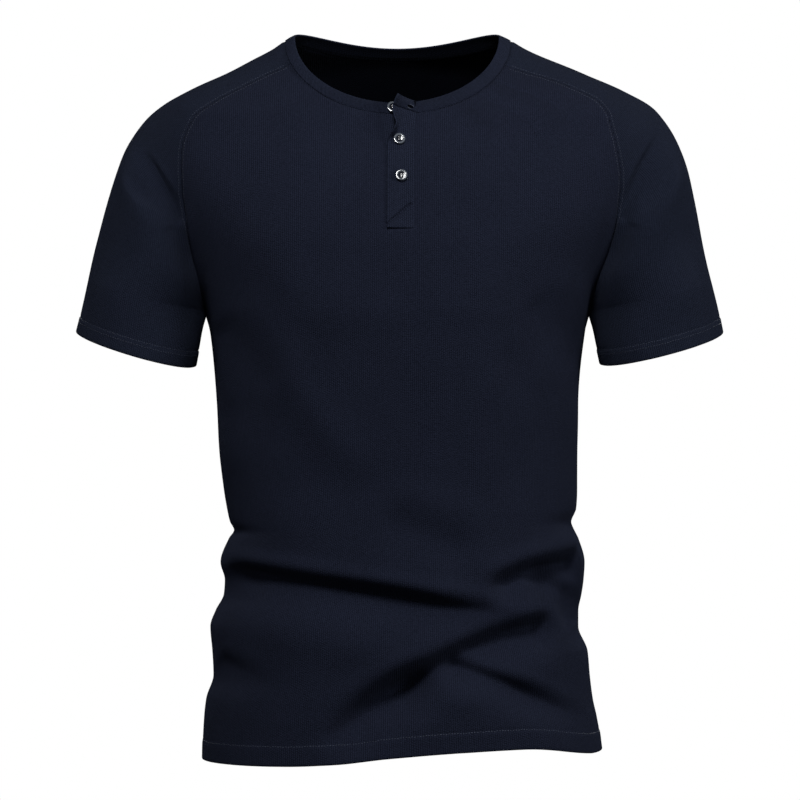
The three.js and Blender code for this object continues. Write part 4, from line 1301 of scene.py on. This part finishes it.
# Materials. The knit's ribs and courses follow the cloth, in metres.
knitLook = {
    "body": {"color": (0.0175, 0.0212, 0.0392), "rib": 0.0020, "broken": 0.4, "valleyShade": 0.45},
    "sleeve": {"color": (0.0172, 0.0216, 0.0388), "rib": 0.0020, "broken": 0.4, "valleyShade": 0.45},
    "trim": {"color": (0.0170, 0.0209, 0.0383), "rib": 0.0018, "broken": 0.5, "valleyShade": 0.05},
    "course": 0.0023,
    "stagger": 0.38,
    "unevenScale": 1050,
    "uneven": 1.75,
    "tone": (0.25, 0.5),
    # How much darker the cloth's inner face is painted: painted shade inside the garment.
    "insideDrop": 0.84,
    "bump": {"Strength": 0.9, "Distance": 0.0007},
    "shader": {
        "Roughness": 0.85, "Sheen Weight": 0.04, "Sheen Roughness": 0.5,
        "Sheen Tint": (0.55, 0.62, 0.8, 1), "Specular IOR Level": 0,
    },
}
threadLook = {
    "seam": (0.054, 0.066, 0.106),
    "hem": (0.085, 0.102, 0.155),
    "buttonTie": (0.22, 0.25, 0.28),
    "tone": (0.3, 1.8),
    "shader": {"Roughness": 0.5},
}
buttonLook = {
    # The rim's colour: partly the button's own paler tone, partly a painted reflection of the lights.
    "rim": (0.14, 0.16, 0.19),
    "well": (0.016, 0.018, 0.028),
    "tone": (0.5, 0.3),
    "shader": {"Roughness": 0.12, "Coat Weight": 0.8, "Coat Roughness": 0.08},
}
# The buttonhole's painted shade: near black.
holeShadeLook = {
    "color": (0.0015, 0.0017, 0.003),
    "tone": (0.1, 0.1),
    "shader": {"Roughness": 1, "Specular IOR Level": 0},
}
toneScales = {"Slow": {"Scale": 14, "Detail": 3}, "Fine": {"Scale": 420, "Detail": 2}}


def wire(node, inputs):
    # Each input takes a fixed value or another node's output.
    for name, value in inputs.items():
        if isinstance(value, bpy.types.NodeSocket):
            node.id_data.links.new(value, node.inputs[name])
        else:
            node.inputs[name].default_value = value


def addNode(tree, kind, inputs, **settings):
    node = tree.nodes.new("ShaderNode" + kind)
    for name, value in settings.items():
        setattr(node, name, value)
    wire(node, inputs)
    return node


def mathNode(tree, operation, *values):
    return addNode(tree, "Math", dict(enumerate(values)), operation=operation).outputs[0]


def newGroup(name, place, amounts, output):
    # A group reads a place on the piece and a few amounts, and puts out one value.
    group = bpy.data.node_groups.new(name, "ShaderNodeTree")
    group.interface.new_socket(name=place, in_out="INPUT", socket_type="NodeSocketVector")
    for amount, value in amounts.items():
        socket = group.interface.new_socket(name=amount, in_out="INPUT", socket_type="NodeSocketFloat")
        socket.default_value = value
    group.interface.new_socket(name=output, in_out="OUTPUT", socket_type="NodeSocketFloat")
    start = group.nodes.new("NodeGroupInput")
    end = group.nodes.new("NodeGroupOutput")
    return group, start.outputs, end


def makeKnitGroup():
    # Upright ribs, broken by the courses, with each loop a little uneven.
    amounts = {"Rib": 0.002, "Course": 0.0016, "Broken": 0.5}
    group, given, end = newGroup("knit loops", "Cloth", amounts, "Height")

    def ridges(turns):
        wave = mathNode(group, "SINE", mathNode(group, "MULTIPLY", turns, math.pi))
        return mathNode(group, "ABSOLUTE", wave)

    cloth = addNode(group, "SeparateXYZ", {0: given["Cloth"]}).outputs
    ribTurns = mathNode(group, "DIVIDE", cloth["X"], given["Rib"])
    courseTurns = mathNode(group, "DIVIDE", cloth["Y"], given["Course"])
    stagger = mathNode(group, "MULTIPLY", mathNode(group, "FLOOR", ribTurns), knitLook["stagger"])
    course = ridges(mathNode(group, "ADD", courseTurns, stagger))
    kept = mathNode(group, "SUBTRACT", 1.0, given["Broken"])
    softCourse = mathNode(group, "ADD", mathNode(group, "MULTIPLY", course, given["Broken"]), kept)
    loops = mathNode(group, "MULTIPLY", ridges(ribTurns), softCourse)
    noiseInputs = {"Vector": given["Cloth"], "Scale": knitLook["unevenScale"], "Detail": 2}
    noise = addNode(group, "TexNoise", noiseInputs).outputs["Fac"]
    uneven = mathNode(group, "MULTIPLY", noise, knitLook["uneven"])
    wire(end, {"Height": mathNode(group, "ADD", loops, uneven)})
    return group


def makeToneGroup():
    # Slow changes of tone over the cloth, and fine fuzz on top of them.
    group, given, end = newGroup("cloth tone", "Place", {"Slow": 0.1, "Fine": 0.1}, "Tone")
    total = 1.0
    for amount, scale in toneScales.items():
        noise = addNode(group, "TexNoise", {"Vector": given["Place"], **scale}).outputs["Fac"]
        swing = mathNode(group, "MULTIPLY", mathNode(group, "SUBTRACT", noise, 0.5), given[amount])
        total = mathNode(group, "ADD", swing, total)
    wire(end, {"Tone": total})
    return group


knitGroup = makeKnitGroup()
toneGroup = makeToneGroup()


def startMaterial(name, tone):
    # A new material, with the piece's UV map to read and its slow and fine changes of tone.
    material = bpy.data.materials.new(name)
    material.use_nodes = True
    tree = material.node_tree
    coordinates = addNode(tree, "TexCoord", {}).outputs
    toneInputs = {"Place": coordinates["Object"], "Slow": tone[0], "Fine": tone[1]}
    toneNode = addNode(tree, "Group", toneInputs, node_tree=toneGroup)
    return material, tree, coordinates["UV"], toneNode.outputs["Tone"]


def finishMaterial(material, colour, amount, shader):
    # The base colour times an amount that changes over the piece, and the shader's other inputs.
    tree = material.node_tree
    scaled = addNode(tree, "VectorMath", {0: colour, "Scale": amount}, operation="SCALE")
    wire(tree.nodes["Principled BSDF"], {"Base Color": scaled.outputs[0], **shader})
    return material


def makeKnit(name, look):
    material, tree, cloth, tone = startMaterial(name, knitLook["tone"])
    loopInputs = {"Cloth": cloth, "Rib": look["rib"], "Course": knitLook["course"], "Broken": look["broken"]}
    loops = addNode(tree, "Group", loopInputs, node_tree=knitGroup).outputs["Height"]
    # The base colour is darker in the knit's valleys: painted shade between the ribs, on top of the bump.
    shade = mathNode(tree, "ADD", mathNode(tree, "MULTIPLY", loops, 1 - look["valleyShade"]), look["valleyShade"])
    # The inner face is painted darker: painted shade inside the garment.
    inside = addNode(tree, "Attribute", {}, attribute_name="inside").outputs["Fac"]
    outside = mathNode(tree, "SUBTRACT", 1.0, mathNode(tree, "MULTIPLY", inside, knitLook["insideDrop"]))
    total = mathNode(tree, "MULTIPLY", mathNode(tree, "MULTIPLY", shade, tone), outside)
    bump = addNode(tree, "Bump", {"Height": loops, **knitLook["bump"]}).outputs["Normal"]
    return finishMaterial(material, look["color"], total, {"Normal": bump, **knitLook["shader"]})


def makeThreadMaterial(name, colour):
    material, tree, cloth, tone = startMaterial(name, threadLook["tone"])
    return finishMaterial(material, colour, tone, threadLook["shader"])


def makeButtonMaterial():
    # A paler rim and a dark well, told apart by the distance from the button's middle. The rim's paleness is
    # partly the button's own tone and partly a painted reflection of the lights on its gloss.
    material, tree, flat, tone = startMaterial("polished button", buttonLook["tone"])
    reach = addNode(tree, "VectorMath", {0: flat}, operation="LENGTH").outputs["Value"]
    outer, inner = (button["wellRadius"] + button["wellSlope"]) * mm, button["wellRadius"] * mm
    wellInputs = {"Value": reach, "From Min": outer, "From Max": inner}
    well = addNode(tree, "MapRange", wellInputs, interpolation_type="SMOOTHSTEP").outputs["Result"]
    colours = {0: well, 6: (*buttonLook["rim"], 1), 7: (*buttonLook["well"], 1)}  # factor, A and B
    colour = addNode(tree, "Mix", colours, data_type="RGBA").outputs[2]
    return finishMaterial(material, colour, tone, buttonLook["shader"])


def makeHoleShadeMaterial():
    material, tree, cloth, tone = startMaterial("buttonhole painted shade", holeShadeLook["tone"])
    return finishMaterial(material, holeShadeLook["color"], tone, holeShadeLook["shader"])


materials = {
    "body_knit": makeKnit("body knit", knitLook["body"]),
    "sleeve_knit": makeKnit("sleeve knit", knitLook["sleeve"]),
    "trim_knit": makeKnit("trim knit", knitLook["trim"]),
    "button": makeButtonMaterial(),
    "seamThread": makeThreadMaterial("seam thread", threadLook["seam"]),
    "hemThread": makeThreadMaterial("hem thread", threadLook["hem"]),
    "tieThread": makeThreadMaterial("button thread", threadLook["buttonTie"]),
}
slots = {
    "front": "body_knit", "back": "body_knit", "sleeve_left": "sleeve_knit", "sleeve_right": "sleeve_knit",
    "placket_over": "trim_knit", "placket_under": "trim_knit", "neck_binding": "trim_knit",
    "button_1": "button", "button_2": "button", "button_3": "button",
}
for node, piece in pieces.items():
    piece.data.materials.clear()
    piece.data.materials.append(materials[slots[node]])
    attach(piece, "root")
    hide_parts(node)
holeShade.data.materials.append(makeHoleShadeMaterial())
for name, piece in stitching.items():
    piece.data.materials.append(materials["hemThread" if name == "hem_stitches" else "seamThread"])
for piece in ties:
    piece.data.materials.append(materials["tieThread"])
for piece in [holeShade, *stitching.values(), *ties]:
    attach(piece, "root")
print("materials set")

# Camera, lights, floor and world. The last two look pale but throw little light.
stage = {
    "pixel": 0.97,
    "photoWidth": 800,
    "distance": 3.5,
    "viewMiddleZ": -353,
    "sensor": 36,
    "floorZ": -1500,
    "floorHalf": 1400,
    "floorShade": {"seen": 0.8, "unseen": 0.08},
    "worldShade": {"seen": 1, "unseen": 0.015},
    "lightTarget": (0, 0, -0.35),
    "lights": {
        "key": {"place": (-0.12, -2.15, 1.64), "size": 0.7, "energy": 36.5},
        "left side": {"place": (-2.3, -1.2, 0.5), "size": 0.9, "energy": 3.5},
        "right side": {"place": (2.3, -1.4, 0.5), "size": 0.9, "energy": 18},
        "left back": {"place": (-1.5, 2.4, 0.1), "size": 0.9, "energy": 20},
        "right back": {"place": (1.6, 2.3, 0.1), "size": 0.9, "energy": 20},
        "fill": {"place": (0.4, -3.0, -0.2), "size": 1.8, "energy": 1.6},
    },
}
cameraData = bpy.data.cameras.new("camera")
cameraData.sensor_width = stage["sensor"]
cameraData.lens = stage["sensor"] * stage["distance"] * 1000 / (stage["photoWidth"] * stage["pixel"])
camera = bpy.data.objects.new("camera", cameraData)
camera.location = (0, -stage["distance"], stage["viewMiddleZ"] * mm)
camera.rotation_euler = (math.radians(90), 0, 0)
bpy.context.scene.collection.objects.link(camera)
bpy.context.scene.camera = camera
bpy.context.scene.view_settings.view_transform = "Standard"

for name, look in stage["lights"].items():
    lightData = bpy.data.lights.new(name, "AREA")
    lightData.size = look["size"]
    lightData.energy = look["energy"]
    light = bpy.data.objects.new(name, lightData)
    light.location = look["place"]
    aim = Vector(stage["lightTarget"]) - Vector(look["place"])
    light.rotation_euler = aim.to_track_quat("-Z", "Y").to_euler()
    bpy.context.scene.collection.objects.link(light)


def seenShade(tree, shade):
    # One brightness for the camera and a lower one for everything that is lit.
    seen = addNode(tree, "LightPath", {}).outputs["Is Camera Ray"]
    more = mathNode(tree, "MULTIPLY", seen, shade["seen"] - shade["unseen"])
    return mathNode(tree, "ADD", more, shade["unseen"])


bpy.ops.mesh.primitive_plane_add(size=2 * stage["floorHalf"] * mm, location=(0, 0, stage["floorZ"] * mm))
floor = bpy.context.object
floor.name = "floor"
floorMaterial = bpy.data.materials.new("pale floor")
floorMaterial.use_nodes = True
floorTree = floorMaterial.node_tree
wire(floorTree.nodes["Principled BSDF"], {"Base Color": seenShade(floorTree, stage["floorShade"])})
floor.data.materials.append(floorMaterial)

world = bpy.data.worlds.new("studio")
bpy.context.scene.world = world
world.use_nodes = True
brightness = seenShade(world.node_tree, stage["worldShade"])
wire(world.node_tree.nodes["Background"], {"Color": (1, 1, 1, 1), "Strength": brightness})
